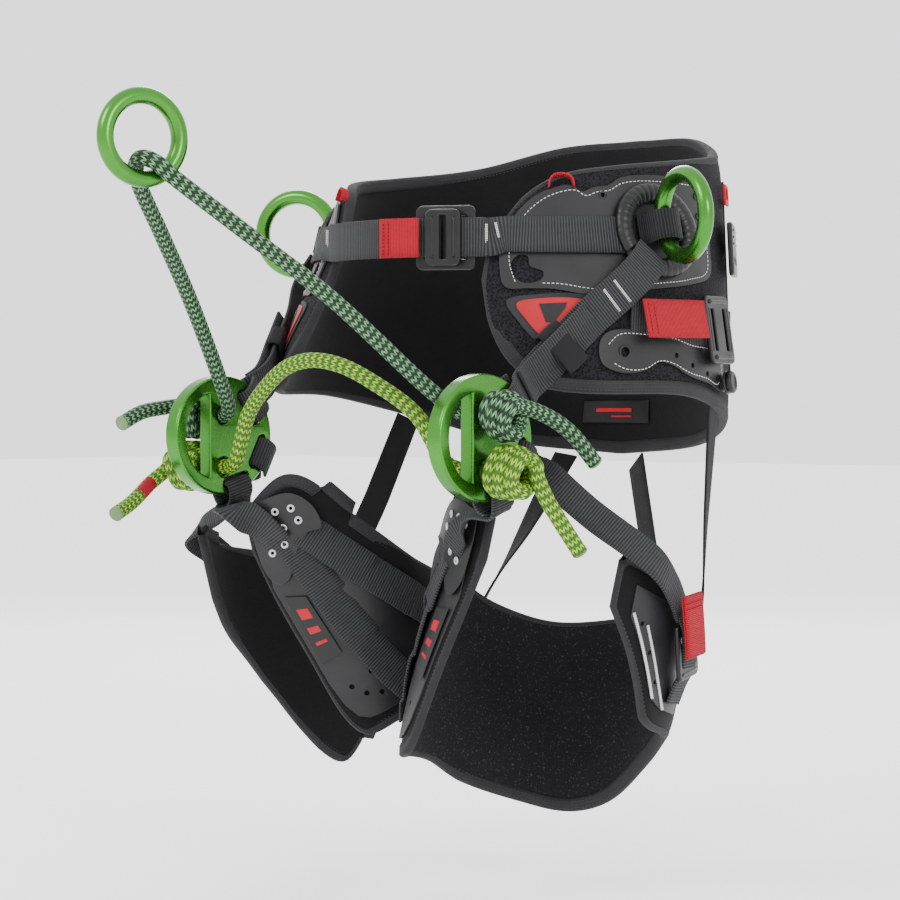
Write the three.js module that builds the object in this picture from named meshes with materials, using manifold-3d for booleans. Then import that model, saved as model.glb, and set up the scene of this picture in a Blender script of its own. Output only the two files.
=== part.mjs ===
// Tree climbing saddle: a padded hip belt, two padded leg loops and a rope bridge with a free ring.
// Millimetres, +Z up. The wearer faces -Y and the wearer's left side is +X.
// The origin is the middle of the wearer's waist, at the level of the waist strap.
import * as THREE from 'three';
import { mergeVertices } from 'three/addons/utils/BufferGeometryUtils.js';
import Module from 'manifold-3d';

const manifold = await Module();
manifold.setup();

// ---- driving dimensions ----
const GAP = 0.35;                    // air between two pieces that touch
const WEB = 28;                      // main webbing width
const WEB_THICK = 2.2;               // main webbing thickness
const LEG_WEB = 24;                  // leg webbing width
const ELASTIC = 20;                  // riser elastic width
const PAD = 11;                      // belt pad thickness
const LEG_PAD = 9;                   // leg pad thickness
const PLATE = 1.8;                   // laminate thickness
const RING_SECTION = 5.75;           // radius of the ring stock
const HIP_RING = 29.25;              // hip ring, centre line radius
const CENTRE_RING = 27.5;            // centre ring, centre line radius
const ROPE = 5.5;                    // bridge rope radius
const BRIDGE = { x: 125, y: -182, z: -142, halfLong: 50, halfHigh: 44, thick: 12 };
const HOLE_FORWARD = 1;              // rope holes ahead of the bridge ring's middle
const DARK_HOLE = 15;                // dark rope hole above the bridge ring's middle
const LIME_HOLE = -23;               // lime rope hole below it
const HOLE_RADIUS = 6.6;
const LEG_AXIS = { x: 115, y: -80 }; // thigh centre
const LEG_RADIUS = 93;               // inside of the leg loop

const COLOURS = {
  pad: 0x1c1c1f, legPad: 0x202024, laminate: 0x3c3c3f, webbing: 0x47484b, elastic: 0x1d1d1f,
  plastic: 0x161617, green: 0x4b963c, red: 0xd81f3f, dark: 0x2d4a35, lime: 0xa0d246,
};

const scene = new THREE.Group();
const V = (x, y, z) => new THREE.Vector3(x, y, z);
const RAD = Math.PI / 180;

function add(name, geometry, colour, roughness = 0.85, metalness = 0) {
  const material = new THREE.MeshStandardMaterial({ color: colour, roughness, metalness });
  const mesh = new THREE.Mesh(geometry, material);
  mesh.name = name;
  scene.add(mesh);
  return mesh;
}

// ---- general shapes ----

// A closed mesh from corner points and triangles, turned to face outwards.
function solid(points, triangles) {
  let volume = 0;
  for (const [a, b, c] of triangles) {
    volume += points[a].dot(points[b].clone().cross(points[c]));
  }
  const index = triangles.flatMap(([a, b, c]) => (volume < 0 ? [a, c, b] : [a, b, c]));
  const geometry = new THREE.BufferGeometry();
  geometry.setAttribute('position', new THREE.Float32BufferAttribute(points.flatMap((p) => p.toArray()), 3));
  geometry.setIndex(index);
  return geometry;
}

// The triangles of a skin through rings of count points, one ring after another.
function skin(ringTotal, count) {
  const triangles = [];
  for (let i = 0; i + 1 < ringTotal; i += 1) {
    for (let j = 0; j < count; j += 1) {
      const a = i * count + j;
      const b = i * count + ((j + 1) % count);
      triangles.push([a, b, b + count], [a, b + count, a + count]);
    }
  }
  return triangles;
}

// A skin through rings, closed by a fan at each end.
function loft(rings) {
  const count = rings[0].length;
  const triangles = skin(rings.length, count);
  const last = (rings.length - 1) * count;
  for (let j = 1; j + 1 < count; j += 1) {
    triangles.push([0, j + 1, j], [last, last + j, last + j + 1]);
  }
  return solid(rings.flat(), triangles);
}

// A flat strap along a curve. sideways is the direction of its width at t from 0 to 1.
function ribbon(path, sideways, width, thick, steps = 14) {
  const curve = path instanceof THREE.Curve ? path : new THREE.CatmullRomCurve3(path, false, 'centripetal');
  const rings = [];
  for (let i = 0; i <= steps; i += 1) {
    const t = i / steps;
    const centre = curve.getPoint(t);
    const along = curve.getTangent(t);
    const side = sideways(t).clone();
    side.addScaledVector(along, -side.dot(along)).normalize();
    const up = along.clone().cross(side).normalize();
    rings.push([[-1, -1], [1, -1], [1, 1], [-1, 1]].map(([s, u]) => centre.clone()
      .addScaledVector(side, s * width / 2).addScaledVector(up, u * thick / 2)));
  }
  return loft(rings);
}

// A thick sheet: outer(u, v) and inner(u, v) give its two faces, with u and v from 0 to 1.
function sheet(outer, inner, across, up) {
  const rings = [];
  for (let i = 0; i <= across; i += 1) {
    const u = i / across;
    const front = [];
    const back = [];
    for (let j = 0; j <= up; j += 1) {
      front.push(outer(u, j / up));
      back.push(inner(u, 1 - j / up));
    }
    rings.push([...front, ...back]);
  }
  return loftCapped(rings, up + 1);
}

// As loft, with each end closed by a strip between its front half and its back half.
function loftCapped(rings, half) {
  const count = rings[0].length;
  const triangles = skin(rings.length, count);
  const last = (rings.length - 1) * count;
  for (let j = 0; j + 1 < half; j += 1) {
    const k = count - 1 - j;
    triangles.push([j, k, j + 1], [j + 1, k, k - 1]);
    triangles.push([last + j, last + j + 1, last + k], [last + j + 1, last + k - 1, last + k]);
  }
  return solid(rings.flat(), triangles);
}

function toManifold(geometry) {
  const bare = new THREE.BufferGeometry();
  bare.setAttribute('position', geometry.getAttribute('position').clone());
  if (geometry.index) bare.setIndex(geometry.index.clone());
  const merged = mergeVertices(bare, 1e-3);
  return new manifold.Manifold(new manifold.Mesh({
    numProp: 3,
    vertProperties: merged.getAttribute('position').array,
    triVerts: merged.index.array,
  }));
}

function fromManifold(body) {
  const mesh = body.getMesh();
  const geometry = new THREE.BufferGeometry();
  geometry.setAttribute('position', new THREE.BufferAttribute(mesh.vertProperties, 3));
  geometry.setIndex(new THREE.BufferAttribute(mesh.triVerts, 1));
  return geometry;
}

const join = (a, b) => fromManifold(toManifold(a).add(toManifold(b)));

// A smooth value through a few [station, value] pairs.
function smooth(pairs, at) {
  if (at <= pairs[0][0]) return pairs[0][1];
  for (let i = 0; i + 1 < pairs.length; i += 1) {
    const [x0, y0] = pairs[i];
    const [x1, y1] = pairs[i + 1];
    if (at <= x1) {
      const before = pairs[Math.max(i - 1, 0)];
      const after = pairs[Math.min(i + 2, pairs.length - 1)];
      const m0 = ((y1 - before[1]) / (x1 - before[0])) * (x1 - x0);
      const m1 = ((after[1] - y0) / (after[0] - x0)) * (x1 - x0);
      const t = (at - x0) / (x1 - x0);
      return (2 * t ** 3 - 3 * t ** 2 + 1) * y0 + (t ** 3 - 2 * t ** 2 + t) * m0
        + (3 * t ** 2 - 2 * t ** 3) * y1 + (t ** 3 - t ** 2) * m1;
    }
  }
  return pairs.at(-1)[1];
}

// A rounded plate in the XY plane, with rounded rectangular slots, extruded by thick.
function slottedPlate(width, height, radius, thick, slots) {
  const box = (shape, x, y, w, h, r) => {
    shape.absarc(x + w / 2 - r, y - h / 2 + r, r, -Math.PI / 2, 0);
    shape.absarc(x + w / 2 - r, y + h / 2 - r, r, 0, Math.PI / 2);
    shape.absarc(x - w / 2 + r, y + h / 2 - r, r, Math.PI / 2, Math.PI);
    shape.absarc(x - w / 2 + r, y - h / 2 + r, r, Math.PI, 1.5 * Math.PI);
    shape.closePath();
    return shape;
  };
  const outline = box(new THREE.Shape(), 0, 0, width, height, radius);
  outline.holes = slots.map(([x, y, w, h]) => box(new THREE.Path(), x, y, w, h, 1));
  const geometry = new THREE.ExtrudeGeometry(outline, { depth: thick, bevelEnabled: false, curveSegments: 2 });
  return geometry.translate(0, 0, -thick / 2);
}

// ---- belt ----

const BELT_TIP = 152;
const BELT_TOP = [[0, 91], [28, 88], [58, 70], [90, 60], [120, 52], [135, 45], [144, 31], [149, 12],
  [BELT_TIP, -6]];
const BELT_BOTTOM = [[0, -158], [30, -150], [60, -128], [90, -112], [130, -108], [141, -90], [148, -62],
  [BELT_TIP, -30]];

// A point of the belt: angle in degrees from the rear middle, towards the wearer's left, at height z,
// and off outside the pad's outer face. The belt is an oval that leans in towards its top.
function beltPoint(angle, z, off = 0) {
  const drop = z + 110;
  const a = 178 - 0.194 * drop + off;
  const b = 165 - 0.17 * drop + off;
  return V(a * Math.sin(angle * RAD), -8 + 0.259 * drop + b * Math.cos(angle * RAD), z);
}

// The belt's rearward, upward and outward directions at a point, for the wearer's left side.
function beltFrame(angle, z) {
  const back = beltPoint(angle - 1, z).sub(beltPoint(angle + 1, z)).normalize();
  const up = beltPoint(angle, z + 1).sub(beltPoint(angle, z - 1));
  up.addScaledVector(back, -up.dot(back)).normalize();
  return { back, up, out: back.clone().cross(up) };
}

// A group whose X, Y and Z are the belt's back, up and out directions at a point, side +1 or -1.
function beltGroup(side, angle, z, off) {
  const group = new THREE.Group();
  const { back, up, out } = beltFrame(side * angle, z);
  const basis = new THREE.Matrix4().makeBasis(back, up, out);
  group.quaternion.setFromRotationMatrix(basis);
  group.position.copy(beltPoint(side * angle, z, 0)).addScaledVector(out, off);
  scene.add(group);
  return group;
}

// A sheet lying on the belt between two angles, with its lower and upper edges given by functions.
function beltSheet(from, to, bottom, top, off, thick, across, up) {
  const face = (extra) => (u, v) => {
    const angle = from + u * (to - from);
    return beltPoint(angle, bottom(angle) + v * (top(angle) - bottom(angle)), off + extra);
  };
  return sheet(face(thick), face(0), across, up);
}

// A strap on the belt through [angle, z, off] places.
function beltStrap(side, places, width, thick, steps) {
  const path = places.map(([angle, z, off]) => beltPoint(side * angle, z, off));
  const facing = (t) => {
    const [angle, z] = places[Math.round(t * (places.length - 1))];
    return beltFrame(side * angle, z).out;
  };
  return faceRibbon(path, facing, width, thick, steps);
}

// As ribbon, with the direction that the strap's flat face looks in.
function faceRibbon(path, facing, width, thick, steps) {
  const curve = new THREE.CatmullRomCurve3(path, false, 'centripetal');
  return ribbon(curve, (t) => curve.getTangent(t).cross(facing(t)), width, thick, steps);
}

function hipPad() {
  const face = (off) => (u, v) => {
    const w = 2 * u - 1;
    const angle = BELT_TIP * (1.25 * w - 0.25 * w ** 3);
    const low = smooth(BELT_BOTTOM, Math.abs(angle));
    const high = smooth(BELT_TOP, Math.abs(angle));
    return beltPoint(angle, low + v * (high - low), off);
  };
  return sheet(face(0), face(-PAD), 44, 5);
}

const WING = { from: 78, to: 147, bottom: -42, top: 38 };

function beltPlates(side, name) {
  const wing = beltSheet(side * WING.from, side * WING.to, () => WING.bottom,
    (angle) => WING.top - 14 * smooth([[130, 0], [WING.to, 1]], Math.abs(angle)), GAP, PLATE, 12, 3);
  add(`${name}_wing_plate`, wing, COLOURS.laminate, 0.6);
}

const BACK_PLATE = { half: 56, bottom: -95, top: 50 };
function backPlate() {
  const bottom = (angle) => BACK_PLATE.bottom - 20 * Math.cos(angle * RAD * 1.6);
  return beltSheet(-BACK_PLATE.half, BACK_PLATE.half, bottom, () => BACK_PLATE.top, GAP, PLATE, 16, 3);
}

const PANEL = { width: 110, height: 46, thick: 7, z: -10 };
function gearPanel() {
  const slots = [-38, -13, 13, 38].map((x) => [x, -12, 15, 6]);
  const group = beltGroup(1, 0, PANEL.z, 0);
  const mesh = add('rear_gear_panel', slottedPlate(PANEL.width, PANEL.height, 8, PANEL.thick, slots),
    COLOURS.plastic, 0.5);
  mesh.position.z = PLATE + 3 * GAP + PANEL.thick / 2;
  group.add(mesh);
}

// Hip: housing, webbing band and ring, all in one frame on the belt.
const HIP = { angle: 105, z: 5, hingeOff: 11.5, lean: 7 };
function hip(side, name) {
  const group = beltGroup(side, HIP.angle, HIP.z, 0);
  const [mid, half, high, floor] = [28.5, 7.5, 7, PLATE + 2 * GAP];
  const section = [new THREE.Vector2(mid - half, floor)];
  for (let i = 0; i <= 6; i += 1) {
    const a = Math.PI * (1 - i / 6);
    section.push(new THREE.Vector2(mid + half * Math.cos(a), floor + 1.5 + (high - 1.5) * Math.sin(a)));
  }
  section.push(new THREE.Vector2(mid + half, floor), section[0].clone());
  const housing = new THREE.LatheGeometry(section.reverse(), 24);
  housing.rotateX(Math.PI / 2);
  group.add(add(`${name}_ring_housing`, housing, COLOURS.plastic, 0.35));

  const reach = HIP.hingeOff + RING_SECTION + 6;
  const foot = floor + 1.6;
  const bandPath = [V(-17, 0, foot), V(-12, 0, foot + 1), V(-10.5, 0, foot + 6), V(-9, 0, reach - 4),
    V(0, 0, reach), V(9, 0, reach - 4), V(10.5, 0, foot + 6), V(12, 0, foot + 1), V(17, 0, foot)];
  const band = ribbon(bandPath, () => V(0, 1, 0), 22, WEB_THICK, 22);
  group.add(add(`${name}_ring_band`, band, COLOURS.webbing));

  const hinge = new THREE.Group();
  hinge.position.set(0, 0, HIP.hingeOff);
  hinge.rotation.y = -side * HIP.lean * RAD;
  const torus = new THREE.TorusGeometry(HIP_RING, RING_SECTION, 10, 28).rotateY(Math.PI / 2);
  const ring = add(`${name}_hip_ring`, torus, COLOURS.green, 0.3, 0.9);
  ring.position.set(0, 0, HIP_RING);
  hinge.add(ring);
  group.add(hinge);
}

// ---- waist buckle and straps ----

const FRONT = { y: -143, rise: 0.0046 };   // the front strap bows forward: y = FRONT.y + rise * x * x
const BUCKLE_X = 50;
const frontPoint = (x, off) => {
  const slope = 2 * FRONT.rise * x;
  return V(x, FRONT.y + FRONT.rise * x * x, 0).addScaledVector(V(slope, -1, 0).normalize(), off);
};

function waistStrap(side, endX) {
  const path = [120, 130, 140, 148].map((angle) => beltPoint(side * angle, 2, 4.8));
  const last = path.at(-1).x;
  for (let i = 1; i <= 4; i += 1) {
    path.push(frontPoint(last + (endX - last) * i / 4, 0));
  }
  const curve = new THREE.CatmullRomCurve3(path, false, 'centripetal');
  const upOnBelt = beltFrame(side * 132, 2).up;
  const upright = (t) => {
    const mix = Math.min(Math.max((Math.abs(curve.getPoint(t).x) - 70) / 15, 0), 1);
    return V(0, 0, 1).lerp(upOnBelt, mix);
  };
  return ribbon(curve, upright, WEB, WEB_THICK, 24);
}

// A group on the front strap, X along it to the wearer's right, Y up and Z forwards.
function frontGroup(x, off) {
  const group = new THREE.Group();
  group.position.copy(frontPoint(x, off));
  const along = V(1, 2 * FRONT.rise * x, 0).normalize();
  const out = along.clone().cross(V(0, 0, 1));
  group.quaternion.setFromRotationMatrix(new THREE.Matrix4().makeBasis(along, V(0, 0, 1), out));
  scene.add(group);
  return group;
}

function waistBuckle() {
  const layer = WEB_THICK / 2 + GAP;
  const frame = add('waist_buckle_frame', slottedPlate(44, 46, 5, 3, [[-13, 0, 5, 31], [13, 0, 5, 31]]),
    COLOURS.plastic, 0.4);
  frame.position.z = -layer - 4.2;
  const slider = add('waist_buckle_slider', slottedPlate(26, 40, 4, 3, [[0, 0, 5, 31]]), COLOURS.plastic, 0.4);
  slider.position.z = layer + 1.5;
  const group = frontGroup(BUCKLE_X, 0);
  group.add(frame, slider);
  const tabGroup = frontGroup(18, layer + 1.5);
  tabGroup.add(add('waist_pull_tab', slottedPlate(34, 29, 2, 2.4, []), COLOURS.red));
}

// ---- side straps between the hips and the bridge rings ----

const SIDE_PATH = [[109, -11, 15.6], [111.5, -21, 15.6], [116.5, -37, 13.2], [123.5, -58, 5.8], [130, -80, 4.8],
  [136, -101, 6.5]];
const slotPlace = (forward, high) => V(0, BRIDGE.y - forward, BRIDGE.z + high);

function sideStrap(side) {
  const path = SIDE_PATH.map(([angle, z, off]) => beltPoint(side * angle, z, off));
  const slot = slotPlace(-25, 20);
  const away = V(0, 0.78, 0.63);
  const at = (x, back) => slot.clone().addScaledVector(away, back).setX(side * x);
  const outer = BRIDGE.x + BRIDGE.thick / 2 + 2.2;
  const inner = BRIDGE.x - BRIDGE.thick / 2 - 2.2;
  path.push(at(outer - 4, 20), at(outer, 12), at(outer, 2), at(BRIDGE.x + 3, -0.5), at(BRIDGE.x - 3, -0.5),
    at(inner, 2), at(inner, 12), at(BRIDGE.x - 3, 21));
  const curve = new THREE.CatmullRomCurve3(path, false, 'centripetal');
  const wide = (t) => {
    const p = curve.getPoint(t);
    const mix = Math.min(Math.max((p.z + 112) / 20, 0), 1);
    const onBelt = curve.getTangent(t).cross(beltFrame(side * 122, p.z).out).multiplyScalar(side);
    const across = V(0, -0.63, 0.78);
    if (onBelt.dot(across) < 0) onBelt.negate();
    return across.lerp(onBelt.normalize(), mix);
  };
  return ribbon(curve, wide, WEB, WEB_THICK, 44);
}

function sideHardware(side, name) {
  const strap = beltStrap(side, [[112, -60, 3.6], [104, -61, 3.6], [94, -62, 3.6], [84, -63, 3.6],
    [74, -64, 3.6], [66, -64, 3.6]], WEB, WEB_THICK, 12);
  add(`${name}_side_adjuster_strap`, strap, COLOURS.webbing);
  const buckleGroup = beltGroup(side, 80, -66, 5.6);
  const buckle = slottedPlate(40, 50, 5, 3.4, [[-10, 0, 5, 31], [10, 0, 5, 31]]);
  buckle.translate(0, 0, 1.7);
  buckleGroup.add(add(`${name}_side_buckle`, buckle, COLOURS.plastic, 0.35));
  const tabGroup = beltGroup(side, 100, -60.5, 9.6);
  const tab = slottedPlate(60, 29, 2, 2.4, []).translate(0, 0, 1.2);
  tabGroup.add(add(`${name}_side_pull_tab`, tab, COLOURS.red));

  const along = [[126.3, -68], [130, -80], [133.3, -90]].map(([angle, z]) => beltPoint(side * angle, z, 5.1));
  const middle = [along[0].clone().lerp(along[1], 0.45), along[1], along[1].clone().lerp(along[2], 0.55)];
  const facing = () => beltFrame(side * 130, -80).out;
  const sleeve = toManifold(faceRibbon(middle, facing, WEB + 8, 8.6, 4));
  const bore = toManifold(faceRibbon(along, facing, WEB + 5, 6.4, 6));
  add(`${name}_strap_keeper`, fromManifold(sleeve.subtract(bore)), COLOURS.laminate);
}

// ---- bridge rings, in a plane across X, drawn with forwards to the right ----

const SLOTS = {
  side: { forward: -25, high: 20, angle: 51, length: 30 },
  outer: { forward: -35, high: -12, angle: -60, length: 26 },
  front: { forward: -12, high: -33, angle: -15, length: 26 },
};
const SLOT_RADIUS = 3;
const EDGE = 1.2;                    // rounding of the bridge ring's edges

function bridgeRing(side, name) {
  const shape = new THREE.Shape();
  shape.absellipse(0, 0, BRIDGE.halfLong - EDGE, BRIDGE.halfHigh - EDGE, 0, 2 * Math.PI);
  const window = new THREE.Path();
  window.absellipse(13, 0, 26 + EDGE, 30 + EDGE, -Math.PI / 2, Math.PI / 2);
  window.closePath();
  shape.holes.push(window);
  for (const high of [DARK_HOLE, LIME_HOLE]) {
    const hole = new THREE.Path();
    hole.absarc(HOLE_FORWARD, high, HOLE_RADIUS + EDGE, 0, 2 * Math.PI);
    shape.holes.push(hole);
  }
  for (const { forward, high, angle, length } of Object.values(SLOTS)) {
    const slot = new THREE.Path();
    const [c, s] = [Math.cos(angle * RAD), Math.sin(angle * RAD)];
    const half = length / 2 - SLOT_RADIUS;
    const radius = SLOT_RADIUS + EDGE;
    slot.absarc(forward + c * half, high + s * half, radius, (angle - 90) * RAD, (angle + 90) * RAD);
    slot.absarc(forward - c * half, high - s * half, radius, (angle + 90) * RAD, (angle + 270) * RAD);
    slot.closePath();
    shape.holes.push(slot);
  }
  const geometry = new THREE.ExtrudeGeometry(shape, {
    depth: BRIDGE.thick - 2 * EDGE, bevelThickness: EDGE, bevelSize: EDGE, bevelSegments: 1, curveSegments: 8,
  });
  geometry.translate(0, 0, EDGE - BRIDGE.thick / 2);
  const mesh = add(`${name}_bridge_ring`, geometry, COLOURS.green, 0.3, 0.9);
  const basis = new THREE.Matrix4().makeBasis(V(0, -1, 0), V(0, 0, 1), V(-1, 0, 0));
  mesh.quaternion.setFromRotationMatrix(basis);
  mesh.position.set(side * BRIDGE.x, BRIDGE.y, BRIDGE.z);
}

// ---- ropes and stopper knots ----

const HOLE_Y = BRIDGE.y - HOLE_FORWARD;
const DARK_Z = BRIDGE.z + DARK_HOLE;
const LIME_Z = BRIDGE.z + LIME_HOLE;
const FACE = BRIDGE.x + BRIDGE.thick / 2;
const DARK_KNOT = { radius: 16.5, length: 33 };
const LIME_KNOT = { radius: 17.6, length: 38 };
const CENTRE = { y: -380, z: 57, turn: -16 };
const BIGHT_Z = CENTRE.z - CENTRE_RING + 14;

function rope(half, steps) {
  const mirrored = half.slice(1).map((p) => V(-p.x, p.y, p.z));
  const curve = new THREE.CatmullRomCurve3([...half.slice().reverse(), ...mirrored], false, 'centripetal');
  const section = new THREE.Shape();
  section.absarc(0, 0, ROPE, 0, 2 * Math.PI);
  return new THREE.ExtrudeGeometry(section, { steps, extrudePath: curve, curveSegments: 5 });
}

// Each half runs from the middle of the bridge to the knot on the outer face of the bridge ring.
const DARK_HALF = [V(0, CENTRE.y, BIGHT_Z), V(9, CENTRE.y + 3, BIGHT_Z - 3), V(17, CENTRE.y + 12, BIGHT_Z - 13),
  V(38, CENTRE.y + 54, BIGHT_Z - 46), V(66, CENTRE.y + 110, BIGHT_Z - 90), V(98, HOLE_Y - 22, DARK_Z + 19),
  V(108, HOLE_Y - 6, DARK_Z + 5), V(118, HOLE_Y, DARK_Z), V(FACE + 1, HOLE_Y, DARK_Z)];
const LIME_HALF = [V(0, -215, -88), V(25, -213, -92), V(50, -207, -104), V(80, -197, -126),
  V(100, HOLE_Y - 6, LIME_Z + 6), V(110, HOLE_Y - 1, LIME_Z + 1), V(118, HOLE_Y, LIME_Z),
  V(FACE + 1, HOLE_Y, LIME_Z)];

// A stopper knot with its tail, on the outer face of a bridge ring.
function knot(side, z, radius, length, tailPlaces) {
  const profile = [[0, 0], [0.62, 0], [0.92, 0.14], [1, 0.5], [0.92, 0.86], [0.62, 1], [0, 1]]
    .map(([r, x]) => new THREE.Vector2(r * radius, x * length));
  const barrel = new THREE.LatheGeometry(profile, 16);
  barrel.rotateZ(-side * Math.PI / 2).translate(side * (FACE + 1 + GAP), HOLE_Y, z);
  const section = new THREE.Shape();
  section.absarc(0, 0, ROPE, 0, 2 * Math.PI);
  const places = tailPlaces.map((p) => V(side * p.x, p.y, p.z));
  const curve = new THREE.CatmullRomCurve3(places, false, 'centripetal');
  const tail = new THREE.ExtrudeGeometry(section, { steps: 10, extrudePath: curve, curveSegments: 4 });
  return join(barrel, tail);
}

const TAILS = {
  dark: {
    left: [V(150, HOLE_Y + 8, DARK_Z + 2), V(160, HOLE_Y + 24, DARK_Z + 2), V(168, HOLE_Y + 44, DARK_Z - 10),
      V(174, HOLE_Y + 66, DARK_Z - 32)],
    right: [V(150, HOLE_Y - 8, DARK_Z + 2), V(154, HOLE_Y - 24, DARK_Z + 5), V(156, HOLE_Y - 44, DARK_Z + 2),
      V(156, HOLE_Y - 66, DARK_Z - 6)],
  },
  lime: {
    left: [V(158, HOLE_Y + 4, LIME_Z - 6), V(168, HOLE_Y + 14, LIME_Z - 16), V(174, HOLE_Y + 26, LIME_Z - 34),
      V(180, HOLE_Y + 40, LIME_Z - 54)],
    right: [V(154, HOLE_Y - 8, LIME_Z - 4), V(158, HOLE_Y - 26, LIME_Z - 14), V(158, HOLE_Y - 48, LIME_Z - 26),
      V(156, HOLE_Y - 70, LIME_Z - 34)],
  },
};

function centreRing() {
  const torus = new THREE.TorusGeometry(CENTRE_RING, RING_SECTION, 10, 28).rotateY(Math.PI / 2);
  const mesh = add('centre_ring', torus, COLOURS.green, 0.3, 0.9);
  mesh.rotation.z = CENTRE.turn * RAD;
  mesh.position.set(0, CENTRE.y, CENTRE.z);
}

// ---- leg loops ----

const LEG = { outerEnd: -122, innerEnd: 170 };
const LEG_LEAN = 0.05;                  // each loop leans inwards towards its bottom
const LEG_SWAY = { 1: 0.27, '-1': -0.27 }; // the left loop hangs forwards at its bottom, the right one backwards
const LEAN_LEVEL = -270;                // height at which lean and sway are nil
const REAR_LIFT = { 1: 0, '-1': 28 };   // the right loop hangs with its rear higher
const LEG_TOP = [[-122, -226], [-90, -246], [-40, -268], [0, -277], [36, -283], [63, -271], [90, -248],
  [119, -208], [137, -178], [150, -175], [170, -199]];
const INNER_BOTTOM = [[134, -367], [140, -362], [146, -346], [154, -308], [163, -267], [170, -228]];
const LEG_BOTTOM = {                    // the left pad hangs deep at its rear, the right one at its outer side
  1: [[-122, -258], [-108, -289], [-98, -314], [-88, -338], [-66, -350], [-44, -358], [-25, -380], [-4, -408],
    [16, -418], [40, -411], [67, -396], [86, -379], [104, -373], [120, -371],
    ...INNER_BOTTOM],
  '-1': [[-122, -276], [-114, -301], [-97, -334], [-85, -364], [-75, -394], [-65, -419], [-56, -428], [-46, -414],
    [-32, -384], [-15, -366], [10, -356], [50, -350], [84, -350], [104, -352],
    [120, -360], ...INNER_BOTTOM],
};

// A point of a leg loop: turn in degrees from the rear, towards the inner thigh.
function legPoint(side, turn, z, off = 0) {
  const radius = LEG_RADIUS + off;
  const [across, along] = [Math.sin(turn * RAD), Math.cos(turn * RAD)];
  const x = LEG_AXIS.x + LEG_LEAN * (z - LEAN_LEVEL) - radius * across * (across < 0 ? 0.9 : 1);
  const y = LEG_AXIS.y + LEG_SWAY[side] * (z - LEAN_LEVEL) + radius * along * (along < 0 ? 0.82 : 1);
  return V(side * x, y, z + REAR_LIFT[side] * (1 + along) / 2);
}

const legOut = (side, turn) => {
  const along = legPoint(side, turn + 1, 0).sub(legPoint(side, turn - 1, 0)).setZ(0).normalize();
  return along.cross(V(0, 0, side)).normalize();
};

function legSheet(side, from, to, low, high, off, thick, across, up) {
  const face = (extra) => (u, v) => {
    const turn = from + u * (to - from);
    return legPoint(side, turn, low(turn) + v * (high(turn) - low(turn)), off + extra);
  };
  return sheet(face(thick), face(0), across, up);
}

const PLATE_TOP = [[62, -316], [85, -300], [105, -284], [125, -256], [140, -222], [150, -200], [163, -196]];
function legLoop(side, name) {
  const low = (turn) => smooth(LEG_BOTTOM[side], turn);
  const high = (turn) => smooth(LEG_TOP, turn);
  const pad = legSheet(side, LEG.outerEnd, LEG.innerEnd, low, high, 0, LEG_PAD, 44, 4);
  add(`${name}_leg_pad`, pad, COLOURS.legPad);
  const off = LEG_PAD + GAP;
  const plateTop = (turn) => smooth(PLATE_TOP, turn);
  const plate = legSheet(side, 62, 163, (turn) => low(turn) + 12, plateTop, off, PLATE, 16, 2);
  add(`${name}_leg_plate`, plate, COLOURS.laminate, 0.6);
  const sidePlate = legSheet(side, -113, -66, (turn) => low(turn) + 13, (turn) => high(turn) - 11, off, PLATE, 8, 1);
  add(`${name}_leg_side_plate`, sidePlate, COLOURS.laminate, 0.6);
  legStraps(side, name, off + PLATE + GAP);
}

function hairpin(side, slot) {
  const away = V(0, Math.sin(-slot.angle * RAD), -Math.cos(slot.angle * RAD));
  const place = slotPlace(slot.forward, slot.high);
  const at = (x, back) => place.clone().addScaledVector(away, back).setX(side * x);
  const outer = FACE + 2.2;
  const inner = BRIDGE.x - BRIDGE.thick / 2 - 2.2;
  return [at(BRIDGE.x - 3, 19), at(inner, 11), at(inner, 2), at(BRIDGE.x - 3, -0.4), at(BRIDGE.x + 3, -0.4),
    at(outer, 2), at(outer, 11), at(outer - 4, 19)];
}

function legStraps(side, name, off) {
  const frontPath = hairpin(side, SLOTS.front).reverse();
  frontPath.unshift(legPoint(side, 155, -222, off + 4), legPoint(side, 160, -209, off + 8),
    legPoint(side, 170, -196, off + 15));
  const frontCurve = new THREE.CatmullRomCurve3(frontPath, false, 'centripetal');
  const across = (t) => {
    const mix = Math.min(Math.max((-190 - frontCurve.getPoint(t).z) / 20, 0), 1);
    return V(0, -0.97, -0.26).lerp(V(side * 0.95, -0.3, 0), mix);
  };
  const front = ribbon(frontCurve, across, LEG_WEB, WEB_THICK, 36);
  add(`${name}_front_leg_strap`, front, COLOURS.webbing);

  const outerPath = hairpin(side, SLOTS.outer);
  outerPath.push(V(side * 150, -134, -172), V(side * 174, -118, -196), legPoint(side, -108, -229, off + 8),
    legPoint(side, -96, -246, off + 7), legPoint(side, -86, -263, off + 6));
  const curve = new THREE.CatmullRomCurve3(outerPath, false, 'centripetal');
  const wide = (t) => {
    const p = curve.getPoint(t);
    const mix = Math.min(Math.max((-165 - p.z) / 45, 0), 1);
    return V(0, 0.5, 0.87).lerp(V(side * -0.2, 0.6, 0.78), mix);
  };
  add(`${name}_outer_leg_strap`, ribbon(curve, wide, LEG_WEB, WEB_THICK, 40), COLOURS.webbing);

  const buckleGroup = legGroup(side, -78, -290, off + 4);
  const buckle = slottedPlate(34, 40, 5, 3.4, [[0, -8, 25, 5], [0, 8, 25, 5]]).translate(0, 0, 1.7);
  buckleGroup.add(add(`${name}_leg_buckle`, buckle, COLOURS.plastic, 0.35));
  const tab = slottedPlate(25, 42, 2, 2.4, []).translate(0, 0, 1.2);
  const tabGroup = legGroup(side, -86, -272, off + 15);
  tabGroup.add(add(`${name}_leg_pull_tab`, tab, COLOURS.red));
}

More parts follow.
